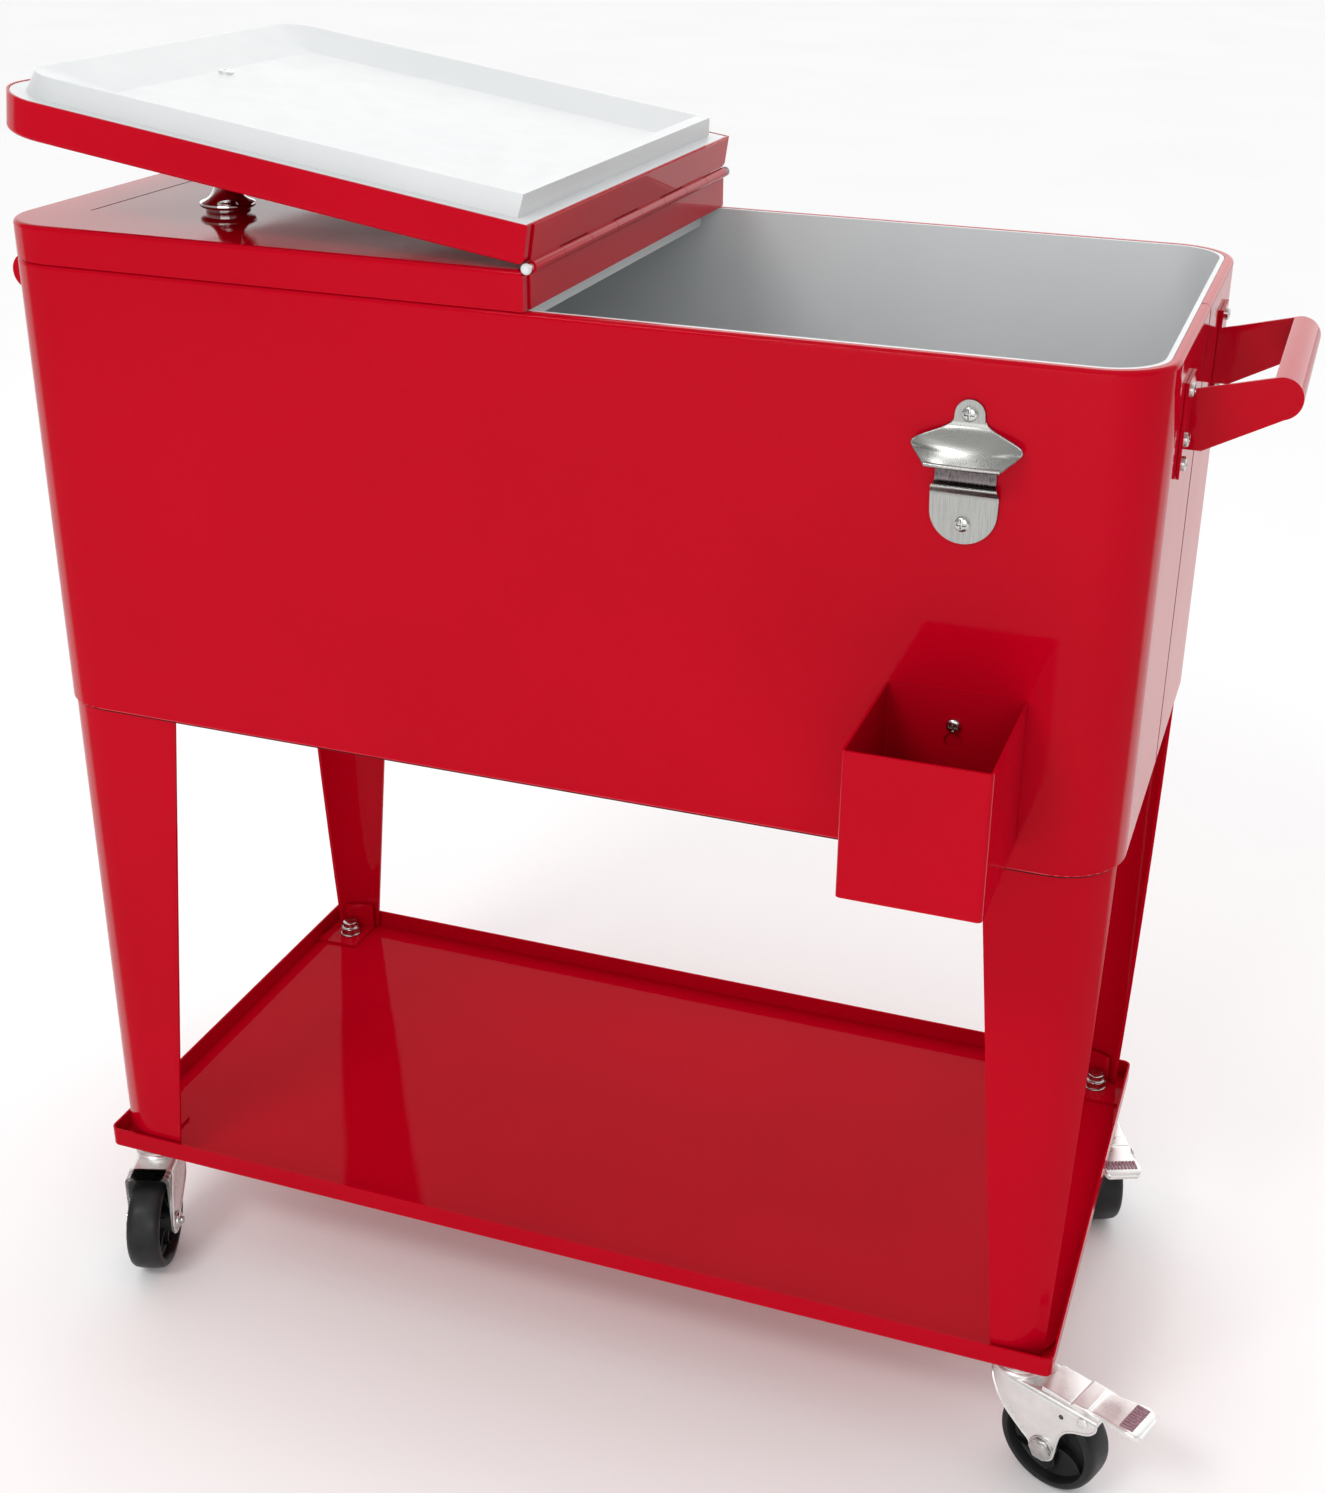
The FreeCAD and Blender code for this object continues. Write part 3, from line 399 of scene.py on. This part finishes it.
def piece(name, bm, slot, body, nodes, turn=Matrix(), edge=0, angle=38, material=None):
    """Finishes built mesh as a piece that rides on a body and stands for CAD nodes."""
    bmesh.ops.remove_doubles(bm, verts=bm.verts, dist=1e-7)
    bmesh.ops.recalc_face_normals(bm, faces=bm.faces)
    bm.transform(turn)
    mesh = bpy.data.meshes.new(name)
    bm.to_mesh(mesh)
    bm.free()
    mesh.shade_smooth()
    mesh.set_sharp_from_angle(angle=math.radians(angle))
    obj = bpy.data.objects.new(name, mesh)
    mesh.materials.append(material or MATERIALS[slot])
    scene.collection.objects.link(obj)
    if edge:
        soften_edges(obj, edge * MM)
    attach(obj, body)
    if nodes:
        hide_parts(*nodes)
    return obj


def islands(node):
    """The boxes of a CAD node's separate solids, as (low, high) in mm, in order of their low corners."""
    bm = bmesh.new()
    bm.from_mesh(node.data)
    bmesh.ops.remove_doubles(bm, verts=bm.verts, dist=1e-6)
    left, boxes = set(bm.verts), []
    while left:
        group, queue = set(), [left.pop()]
        while queue:
            vert = queue.pop()
            group.add(vert)
            for edge in vert.link_edges:
                other = edge.other_vert(vert)
                if other in left:
                    left.remove(other)
                    queue.append(other)
        points = [node.matrix_world @ v.co / MM for v in group]
        boxes.append([Vector([pick(p[k] for p in points) for k in range(3)]) for pick in (min, max)])
    bm.free()
    return sorted(boxes, key=lambda box: tuple(box[0]))


def facing(at, direction):
    """A placement in mm at a point, with Z along a direction."""
    return Matrix.Translation(at) @ Vector(direction).to_track_quat("Z", "Y").to_matrix().to_4x4()


def pan_head(bm, turn, radius, height):
    """A screw head: a low dome with a cross recess, standing on z = 0."""
    steps, rings = 40, 10
    foot = [(math.cos(math.tau * k / steps) * radius, math.sin(math.tau * k / steps) * radius, 0)
            for k in range(steps)]
    rows = [[(0, 0, 0)], foot]
    for ring in range(rings, -1, -1):
        reach = radius * ring / rings
        row = []
        for k in range(steps if ring else 1):
            x, y = reach * math.cos(math.tau * k / steps), reach * math.sin(math.tau * k / steps)
            across = min(abs(x), abs(y)) < radius * 0.13 and reach < radius * 0.62
            low = 0.45 if ring == rings else (ring / rings) ** 3 * 0.38
            row.append((x, y, height * (1 - low - (0.42 if across else 0))))
        rows.append(row)
    skin(bm, [[turn @ Vector(p) for p in row] for row in rows], loop_columns=True)


def six_sided(radius, chamfer=0.08):
    """A hexagon's corners with tiny flats."""
    return [(radius * math.cos(math.radians(60 * k + d)), radius * math.sin(math.radians(60 * k + d)))
            for k in range(6) for d in (-60 * chamfer, 60 * chamfer)]


def thread(radius, low, high, pitch=1.0):
    """A lathe profile of a threaded end between two heights."""
    turns = int((high - low) / pitch)
    line = []
    for k in range(turns):
        line += [(radius - 0.45, low + k * pitch), (radius, low + (k + 0.5) * pitch)]
    return line + [(radius - 0.8, high), (0, high)]


# ---------------------------------------------------------------- casters


CORNERS = ("front_left", "front_right", "back_left", "back_right")


def caster_place(corner):
    """The caster's own frame: the swivel axis at the tray's underside, the wheel trailing along X."""
    swivel, axis = joints[f"{corner}_swivel_turn"]["pos_m"], joints[f"{corner}_wheel_roll"]["axis"]
    turn = math.atan2(-axis[0], axis[1])
    return (Matrix.Translation((swivel[0], swivel[1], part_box("tray")[0][2]))
            @ Matrix.Rotation(turn, 4, "Z"))


def caster_stem(corner, place):
    bm = bmesh.new()
    lathe(bm, [(0, -9), (15.4, -9), (16.8, -8.4), (17.5, -7.2), (17.2, -5.9), (16.2, -5.1), (15.6, -4.5),
               (16.4, -3.9), (18, -3.4), (18.5, -2.4), (18.5, -0.9), (17.9, -0.15), (5, -0.1), (5, 2)]
          + thread(5, 2.2, 12), steps=56)
    piece(f"{corner}_swivel_stem", bm, "zinc", "cart", [f"{corner}_stem"], place)


def caster_fork(corner, place, braked):
    """A pressed fork: a domed round nose, side plates that narrow to the axle, and beaded edges."""
    nose = [(-18.4, -20), (-16, -25), (-7, -35), (5, -46), (16, -54.5), (22, -59), (23.8, -64.4), (28, -68),
            (32, -69), (36, -68), (40, -64.4)]
    heel = [(39, -50), (36, -38), (32, -26), (28.5, -17)]
    if braked:
        heel = [(41.4, -58), (42.4, -50), (44, -42), (47.5, -36), (52, -32.5), (57, -30), (63, -27.5),
                (67, -24.5), (69.4, -20.5), (69.8, -17)]
    line = smooth_line(nose + heel, 4)
    stations = []
    for point in line:
        x = point[0]
        half = FORK_HALF if x > 2 else max(FORK_HALF * math.sqrt(max(1 - ((x - 2) / 20.6) ** 2, 0)), 1.2)
        crown = -14.4 - (0 if x > -6 else (x + 6) ** 2 * 0.014)
        stations.append((x, half, crown, min(point[1], crown - 1.5)))
    bm = bmesh.new()
    channel(bm, stations, 2.0, 4.5)
    for side in (-1, 1):
        rail(bm, [(x, side * max(half - 0.2, 0.5), low) for x, half, crown, low in stations], 1.0)
    lathe(bm, [(8, -16), (17.6, -15.6), (18.5, -14), (18.5, -12.4), (17.7, -11.4), (16.8, -10.9),
               (16.9, -10.1), (16.2, -9.4), (8, -9.3), (0, -9.3)], steps=56)
    piece(f"{corner}_pressed_fork", bm, "zinc", f"{corner}_swivel", [f"{corner}_fork"], place, edge=0.25)
    # On braked forks, a black dish on each side plate stands in for a hole: painted shade for the hole's dark
    # inside.
    for side in (-1, 1) if braked else ():
        bm = bmesh.new()
        lathe(bm, [(0, 0), (1.7, 0), (1.7, 0.25), (1.0, 0.3), (0, -0.4)],
              facing((44, side * FORK_HALF, -24.5), (0, side, 0)), 20)
        letter = "a" if side > 0 else "b"
        piece(f"{corner}_fork_hole_{letter}", bm, "black_plastic", f"{corner}_swivel", [], place)


def caster_axle(corner, place):
    """The axle bolt: a washer, a nut and a threaded end in front, a round rivet head behind."""
    bm = bmesh.new()
    front = facing((AXLE_X, -FORK_HALF, AXLE_Z), (0, -1, 0))
    back = facing((AXLE_X, FORK_HALF, AXLE_Z), (0, 1, 0))
    lathe(bm, [(0, 0), (9.4, 0), (9.4, 0.8), (8.8, 1.1), (0, 1.1)], front, 40)
    plate(bm, six_sided(8.2), 1.1, 3.6, front)
    lathe(bm, [(0, 3.5), (6.2, 3.5), (5.4, 4.05), (0, 4.1)], front, 40)
    lathe(bm, [(0, 3), (3.4, 3), (3.4, 4.1), (2.6, 4.1), (2.3, 3.9), (0, 3.9)], front, 28)
    lathe(bm, [(0, 0), (7.6, 0), (7.6, 0.8), (6.4, 1.2), (6.2, 2.4), (5.0, 3.4), (3, 3.6), (3, 5), (2.4, 5.5),
               (0, 5.6)], back, 40)
    pin(bm, 4, -FORK_HALF, FORK_HALF, Matrix.Translation((AXLE_X, 0, AXLE_Z)) @ UPRIGHT, 28)
    piece(f"{corner}_axle_bolt", bm, "zinc", f"{corner}_swivel", [f"{corner}_axle"], place, edge=0.3,
          material=BOLT_ZINC)


def caster_wheel(corner, place):
    """A moulded wheel: soft tread shoulders, raised rims, sunken webs with curved vanes, and a hub."""
    half = [(4.06, 14.5), (8.2, 14.5), (9, 13.8), (9.5, 6.5), (11, 4.4), (20, 3.9), (27.4, 4.2), (29.0, 5.4),
            (29.9, 11.0), (30.6, 12.2), (31.8, 12.5), (33.6, 12.4), (35.2, 11.5), (36.3, 9.6), (36.85, 6.5),
            (37, 3)]
    profile = half + [(r, -z) for r, z in reversed(half)]
    turn = Matrix.Translation((AXLE_X, 0, AXLE_Z)) @ ROLL
    hub, span = 8.8, 21
    bm = bmesh.new()
    lathe(bm, profile, turn, 84, closed=True)
    for side in (-1, 1):
        for vane in range(6):
            rows = []
            for step in range(9):
                reach = hub + span * step / 8
                angle = math.radians(60 * vane + 30 * (step / 8) ** 1.4 + (14 if side > 0 else 0))
                wide = 0.8 / reach
                top = 10.6 - 3.2 * (reach - hub) / span
                rows.append([turn @ Vector((reach * math.cos(a), reach * math.sin(a), side * z))
                             for a, z in ((angle - wide, 3), (angle - wide * 0.7, top),
                                          (angle + wide * 0.7, top), (angle + wide, 3))])
            skin(bm, rows)
    piece(f"{corner}_moulded_wheel", bm, "black_wheel", f"{corner}_wheel", [f"{corner}_wheel"], place)


def caster_pedal(corner, place):
    """The brake pedal: a shallow pressed channel with a fold, a waist and a broad tip."""
    pivot_x, _, pivot_z = place.inverted() @ Vector(joints[f"{corner}_brake_press"]["pos_m"]) / MM
    plan = smooth_line([(26, 14.2, -11.4), (38, 14.3, -11.6), (47, 14.4, -12), (48.4, 14.4, -12),
                        (49.6, 14.4, -10.7), (51.5, 14.4, -10.5), (58, 14.2, -10.3), (61, 13.6, -10.2),
                        (62.5, 13.4, -10.9), (70, 12.9, -10.4), (78, 13.8, -9.6), (86, 15.2, -8.9),
                        (91, 15.3, -8.6), (94.6, 14.6, -9.2), (96.8, 13.2, -10.2), (98, 11.0, -11.2)], 3)
    stations = [(x, half, top, -14.2 if x < 60 else top - 3.4) for x, half, top in plan]
    bm = bmesh.new()
    channel(bm, stations, 1.4, 1.8)
    rail(bm, [(98, y, -12.6) for y in (-10.6, -5, 0, 5, 10.6)], 1.5)
    cheek = smooth_line([(51, -12), (66, -12), (70, -16), (68, -22), (62, -24.6), (56, -23), (52, -18)], 4,
                        closed=True)
    for low in (-14.2, 12.4):
        plate(bm, cheek, -low - 1.8, -low, UPRIGHT)
    plate(bm, [(57, -12), (66, -11.4), (64, -31), (59, -31)], -8, 8, UPRIGHT)
    pivot = Matrix.Translation((pivot_x, 0, pivot_z)) @ UPRIGHT
    pin(bm, 2.5, -14.6, 14.6, pivot, 24)
    piece(f"{corner}_pressed_pedal", bm, "zinc", f"{corner}_brake", [f"{corner}_pedal"], place, edge=0.2)
    bm = bmesh.new()
    for rib in range(9):
        y = -10.8 + 2.7 * rib
        plate(bm, [(83.6, y - 1.1), (93.2, y - 1.1), (93.2, y + 1.1), (83.6, y + 1.1)], -9.8, -8.1)
    # The ribs' mauve tint is a painted reflection of the red paint above them.
    piece(f"{corner}_pedal_grip", bm, "zinc", f"{corner}_brake", [], place, edge=0.3, material=MAUVE)
    bm = bmesh.new()
    for side in (-1, 1):
        lathe(bm, [(0, 0), (4, 0), (3.8, 0.9), (3.0, 1.4), (1.6, 1.5), (1.4, 1.1), (0, 1.1)],
              facing((pivot_x, side * FORK_HALF, pivot_z), (0, side, 0)), 28)
    pin(bm, 2.5, -FORK_HALF, FORK_HALF, pivot, 20)
    piece(f"{corner}_pedal_rivet", bm, "zinc", f"{corner}_swivel", [f"{corner}_pedal_pin"], place)


def make_casters():
    for corner in CORNERS:
        place = caster_place(corner)
        braked = f"{corner}_pedal" in frame["nodes"]
        caster_stem(corner, place)
        caster_fork(corner, place, braked)
        caster_axle(corner, place)
        caster_wheel(corner, place)
        if braked:
            caster_pedal(corner, place)


def make_stem_nuts():
    """A flanged nut on each caster stem, standing on the foot plate."""
    bm = bmesh.new()
    for low, high in islands(frame["nodes"]["stem_nuts"]):
        at = Matrix.Translation(((low[0] + high[0]) / 2, (low[1] + high[1]) / 2, low[2]))
        lathe(bm, [(5.2, 0), (9, 0), (9, 0.8), (8.2, 1.2), (5.2, 1.2)], at, 40, closed=True)
        plate(bm, six_sided(8.6), 1.2, 6.6, at)
        lathe(bm, [(0, 6.6), (7.4, 6.6), (6.8, 7.2), (6.2, 7.4), (6.2, 11.4), (5.4, 12), (0, 12)], at, 36)
    piece("stem_flange_nuts", bm, "zinc", "cart", ["stem_nuts"], edge=0.3, material=BOLT_ZINC)


# ---------------------------------------------------------------- fittings


def make_opener():
    """A pressed opener: a screw tab, a winged hood with a rolled lip, and a round-ended lower tab."""
    low, high = [Vector(v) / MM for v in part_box("opener")]
    x, wall, top = (low[0] + high[0]) / 2, high[1], high[2]

    def strip(line):
        """A bent strip from (drop below the top, distance from the wall, half width) points."""
        skin(bm, [[(x + half * k / 8, wall - out, top + drop) for k in range(-8, 9)]
                  for drop, out, half in line])

    def hood_point(drop, half, out, u):
        """A point across the hood: it is fullest in the middle and falls away to its wings."""
        fade = 1 if drop > -28 else (36 + drop) / 8
        fall = 0.5 * abs(u) ** 2.3 * min(1, max(0, (-drop - 14) / 10)) * fade
        return (x + u * half, wall - out * (1.0 - fall), top + drop)

    bm = bmesh.new()
    upright = Matrix.Translation((x, wall, 0)) @ UPRIGHT
    tab = arc((0, top - 8.5), 8.5, 0, 180, 14)
    tab += [(-9, top - 15), (-12, top - 18), (12, top - 18), (9, top - 15)]
    plate(bm, tab, 0, OPENER_SHEET, upright)
    lower = [(-19.5, top - 56)] + arc((0, top - 64), 19.3, 180, 360, 22) + [(19.5, top - 56)]
    plate(bm, lower, 0, OPENER_SHEET, upright)
    strip(smooth_line([(-56, 1.9, 19.5), (-54, 2.2, 19.5), (-52.6, 3.4, 19.4), (-51.4, 5.0, 19.2),
                       (-50, 5.7, 18.8), (-48.8, 5.0, 18), (-48, 3.2, 17.6), (-46.6, 1.8, 17.4),
                       (-42, 1.4, 17.4), (-36, 2.0, 17.8), (-28, 3.6, 18)], 3))
    down = smooth_line([(-13, 9.2, 1.9), (-15, 10.8, 2.4), (-17.5, 15.4, 4.2), (-20.5, 22.6, 7.4),
                        (-23.4, 28.4, 10.2), (-26, 30.6, 12.2), (-28.6, 29.0, 13.8), (-31.4, 25.6, 15.2),
                        (-34, 22.4, 16.3), (-35, 21.2, 16.6)], 4)
    hood = [[hood_point(drop, half, out, k / 16) for k in range(-16, 17)] for drop, half, out in down]
    skin(bm, hood)
    skin(bm, [[(px, py + 1.6, pz + 0.6) for px, py, pz in row] for row in hood])
    rail(bm, [(px, py + 0.5, pz) for px, py, pz in hood[-1]], 1.35, 10)
    for side in (0, -1):
        rail(bm, [(row[side][0], row[side][1] + 0.8, row[side][2]) for row in hood], 0.8)
    piece("pressed_opener", bm, "brushed_stainless", "cart", ["opener"], edge=0.35)
    # A dark metal strip over the mouth under the hood: painted shade for the shadow that the hood's lip casts
    # there.
    bm = bmesh.new()
    strip(smooth_line([(-49.4, 5.7, 18.2), (-48.4, 3.8, 17.7), (-46.6, 2.2, 17.4), (-42, 1.8, 17.4),
                       (-36.4, 2.4, 17.7)], 4))
    piece("opener_throat_painted_shade", bm, "brushed_stainless", "cart", [], material=painted_shade_throat())


def make_screw_heads():
    """Pan heads with cross recesses in place of the plain CAD heads."""
    names = dict(handle_screws="handle_pan_heads", opener_screws="opener_pan_heads",
                 catcher_screw="catcher_pan_head")
    for node, name in names.items():
        bm = bmesh.new()
        for low, high in islands(frame["nodes"][node]):
            middle = (low + high) / 2
            if node == "handle_screws":
                out = 1 if middle[0] > 0 else -1
                at, direction = Vector((high[0] if out > 0 else low[0], middle[1], middle[2])), (out, 0, 0)
            else:
                at, direction = Vector((middle[0], low[1], middle[2])), (0, -1, 0)
            head = facing(at - Vector(direction) * SCREW_HEAD, direction)
            pan_head(bm, head, (high[2] - low[2]) / 2, SCREW_HEAD)
            pin(bm, SCREW_SHANK, -3.4, 0, head, 16)
        piece(name, bm, "zinc", "cart", [node], angle=30, material=BOLT_ZINC)


def lid_turn(side):
    """The placement of a lid's own frame at rest, in mm, with the hinge axis through its origin."""
    hinge = Vector(joints[f"{side}_lid_flip"]["pos_m"]) / MM
    if side == "left":
        return Matrix.Translation(hinge) @ Matrix.Rotation(math.pi, 4, "Z")
    angle = math.radians(joints["left_lid_flip"]["range_deg"][1])
    return Matrix.Translation(hinge) @ Matrix.Rotation(-angle, 4, "Y")


def own_box(node, turn):
    """A CAD node's box in a turned frame, in mm."""
    back = turn.inverted()
    node = frame["nodes"][node]
    points = [back @ (node.matrix_world @ v.co / MM) for v in node.data.vertices]
    return [Vector([pick(p[k] for p in points) for k in range(3)]) for pick in (min, max)]


# A knob's outline below its domed top, as (radius, height).
KNOB = [(0, 0), (14.2, 0), (14.4, 0.6), (14.4, 2.6), (15.2, 3.1), (17.0, 3.4), (17.8, 4.1), (18, 5.0),
        (17.7, 6.0), (16.4, 6.8), (14.6, 7.4), (12.6, 8.6), (10.9, 10.2), (9.5, 12.2), (8.4, 14.6),
        (7.5, 17.4), (7.0, 20.2), (7.0, 22.4), (7.7, 24.4), (9.4, 26.2), (11.5, 27.6), (12.7, 29.0),
        (13, 30.6), (12.6, 32.4), (11.2, 34.2), (8.8, 36)]


def make_knobs():
    for side in ("left", "right"):
        turn = lid_turn(side)
        low, high = own_box(f"{side}_lid_knob", turn)
        at = turn @ Matrix.Translation(((low[0] + high[0]) / 2, (low[1] + high[1]) / 2, low[2]))
        top = high[2] - low[2]
        bm = bmesh.new()
        lathe(bm, KNOB + [(5.4, top - 0.6), (2.4, top - 0.1), (0, top)], at, 64)
        piece(f"{side}_turned_knob", bm, "bright_metal", f"{side}_lid", [f"{side}_lid_knob"])
        low, high = own_box(f"{side}_knob_screw", turn)
        head = turn @ facing(((low[0] + high[0]) / 2, (low[1] + high[1]) / 2, low[2] + 2.5), (0, 0, -1))
        bm = bmesh.new()
        pan_head(bm, head, 5.0, 2.5)
        pin(bm, SCREW_SHANK, low[2] - high[2] + 3, 0, head, 16)
        piece(f"{side}_knob_pan_head", bm, "zinc", f"{side}_lid", [f"{side}_knob_screw"], angle=30)


def make_hinge_caps():
    bm = bmesh.new()
    for low, high in islands(frame["nodes"]["hinge_caps"]):
        middle = (low + high) / 2
        out = 1 if middle[1] > cad_middle[1] / MM else -1
        base = Vector((middle[0], low[1] if out > 0 else high[1], middle[2]))
        lathe(bm, [(0, 0), (3.3, 0), (3.4, 0.4), (3.3, 1.2), (2.8, 2.0), (1.9, 2.6), (0.9, 2.9), (0, 3)],
              facing(base, (0, out, 0)), 32)
    piece("hinge_dome_caps", bm, "white_plastic", "left_lid", ["hinge_caps"])


def make_tub_hem():
    """The tub's lower sheet edge: a thin bead in a brighter red as a painted highlight, with a dark line
    under it as a painted shadow against the legs.
    """
    low, high = Vector(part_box("front_shell")[0]) / MM, Vector(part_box("back_shell")[1]) / MM
    inner_low = [low[k] + TUB_CORNER for k in (0, 1)]
    inner_high = [high[k] - TUB_CORNER for k in (0, 1)]
    centres = (inner_high, (inner_low[0], inner_high[1]), inner_low, (inner_high[0], inner_low[1]))
    # The first rail is a painted highlight on the sheet edge, the second a painted shadow line below it.
    for name, inset, lift, radius, material in (("tub_hem", 0.42, 0.45, 0.5, hem_painted_highlight()),
                                                ("tub_hem_painted_shadow", 1.7, -0.9, 0.75, dark_seam_and_painted_shadow())):
        outline = [(px, py, low[2] + lift) for k, centre in enumerate(centres)
                   for px, py in arc(centre, TUB_CORNER - inset, 90 * k, 90 * k + 90, 10)]
        bm = bmesh.new()
        rail(bm, outline + outline[:1], radius, 6)
        piece(name, bm, "red_paint", "cart", [], material=material)


def make_end_seams():
    """The fine joint between the tub's halves, up both end walls and over the rim's rounding."""
    low, high = [Vector(v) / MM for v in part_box("front_shell")]
    bm = bmesh.new()
    for end in (-1, 1):
        wall = high[0] if end > 0 else low[0]
        line = [(wall - end * 0.2, high[1], low[2] + 0.2), (wall - end * 0.2, high[1], high[2] - 3.2)]
        line += [(wall - end * (3.2 - 3 * math.cos(a)), high[1], high[2] - 3.2 + 3 * math.sin(a))
                 for a in (0.4, 0.8, 1.2, 1.5)]
        line.append((wall - end * 5.8, high[1], high[2] - 0.2))
        rail(bm, line, 0.4, 6)
    piece("end_seams", bm, "red_paint", "cart", [], material=dark_seam_and_painted_shadow())


EDGE_ROLLS = dict(
    lid_liner=2.6, lid_cover=0.7, _leg=0.7, _foot=0.6, _handle=0.8, tray=0.6, cap_catcher=0.6, _shell=0.4,
    hinge_leaf=0.3, liner=1.2,
)

make_casters()
make_stem_nuts()
make_opener()
make_screw_heads()
make_knobs()
make_hinge_caps()
make_end_seams()
make_tub_hem()
for name, node in frame["nodes"].items():
    for ending, width in EDGE_ROLLS.items():
        if name.endswith(ending):
            soften_edges(node, width * MM)
            break


# ---------------------------------------------------------------- studio


def make_camera():
    """The viewing angle: from the front, right of the middle, looking down on the lids."""
    place, yaw, pitch, roll = (0.46432, -1.16635, 1.05236), 18.681, 24.537, 0.974
    data = bpy.data.cameras.new("camera")
    data.lens = 47.55
    data.sensor_width = 36
    data.shift_x = -0.02985
    data.shift_y = -0.03186
    camera = bpy.data.objects.new("camera", data)
    scene.collection.objects.link(camera)
    turn = (Matrix.Rotation(math.radians(yaw), 4, "Z") @ Matrix.Rotation(math.radians(90 - pitch), 4, "X")
            @ Matrix.Rotation(math.radians(roll), 4, "Z"))
    camera.matrix_world = Matrix.Translation(place) @ turn
    scene.camera = camera


def soft_light(name, place, width, height, power):
    """A rectangular light that points at the middle of the cart."""
    data = bpy.data.lights.new(name, "AREA")
    data.shape = "RECTANGLE"
    data.size, data.size_y = width, height
    data.energy = power
    light = bpy.data.objects.new(name, data)
    light.location = place
    light.rotation_euler = (Vector((0, 0.05, 0.5)) - Vector(place)).to_track_quat("-Z", "Y").to_euler()
    scene.collection.objects.link(light)
    light.visible_camera = False


def make_studio():
    """A pale floor under a grey sky that brightens to the back and to the top, and two soft lights."""
    bm = bmesh.new()
    bmesh.ops.create_grid(bm, x_segments=8, y_segments=8, size=14)
    mesh = bpy.data.meshes.new("floor")
    bm.to_mesh(mesh)
    bm.free()
    floor = bpy.data.objects.new("floor", mesh)
    floor.data.materials.append(pale_floor())
    scene.collection.objects.link(floor)

    world = bpy.data.worlds.new("studio")
    scene.world = world
    world.use_nodes = True
    tree = world.node_tree
    split = tree.nodes.new("ShaderNodeSeparateXYZ")
    tree.links.new(tree.nodes.new("ShaderNodeTexCoord").outputs["Generated"], split.inputs["Vector"])

    def gradient(axis, low, high, stops):
        """Greys that change along one axis of the sky."""
        spread = tree.nodes.new("ShaderNodeMapRange")
        spread.inputs["From Min"].default_value = low
        spread.inputs["From Max"].default_value = high
        tree.links.new(split.outputs[axis], spread.inputs["Value"])
        ramp = tree.nodes.new("ShaderNodeValToRGB")
        for stop, (position, grey) in zip(ramp.color_ramp.elements, stops):
            stop.position, stop.color = position, (grey, grey, grey, 1)
        tree.links.new(spread.outputs["Result"], ramp.inputs["Fac"])
        return ramp.outputs["Color"]

    total = tree.nodes.new("ShaderNodeVectorMath")
    total.operation = "ADD"
    tree.links.new(gradient("Y", -1, 1, ((0.45, 0.3), (0.96, 1.3))), total.inputs[0])
    tree.links.new(gradient("Z", 0, 1, ((0.30, 0.0), (0.95, 0.35))), total.inputs[1])
    background = tree.nodes["Background"]
    tree.links.new(total.outputs["Vector"], background.inputs["Color"])
    background.inputs["Strength"].default_value = 1.28

    soft_light("key", (-0.9, -2.4, 3.0), 1.1, 0.6, 26)
    soft_light("front_fill", (0.5, -3.5, 1.4), 3.0, 2.0, 44)


make_camera()
make_studio()
scene.view_settings.view_transform = "Standard"
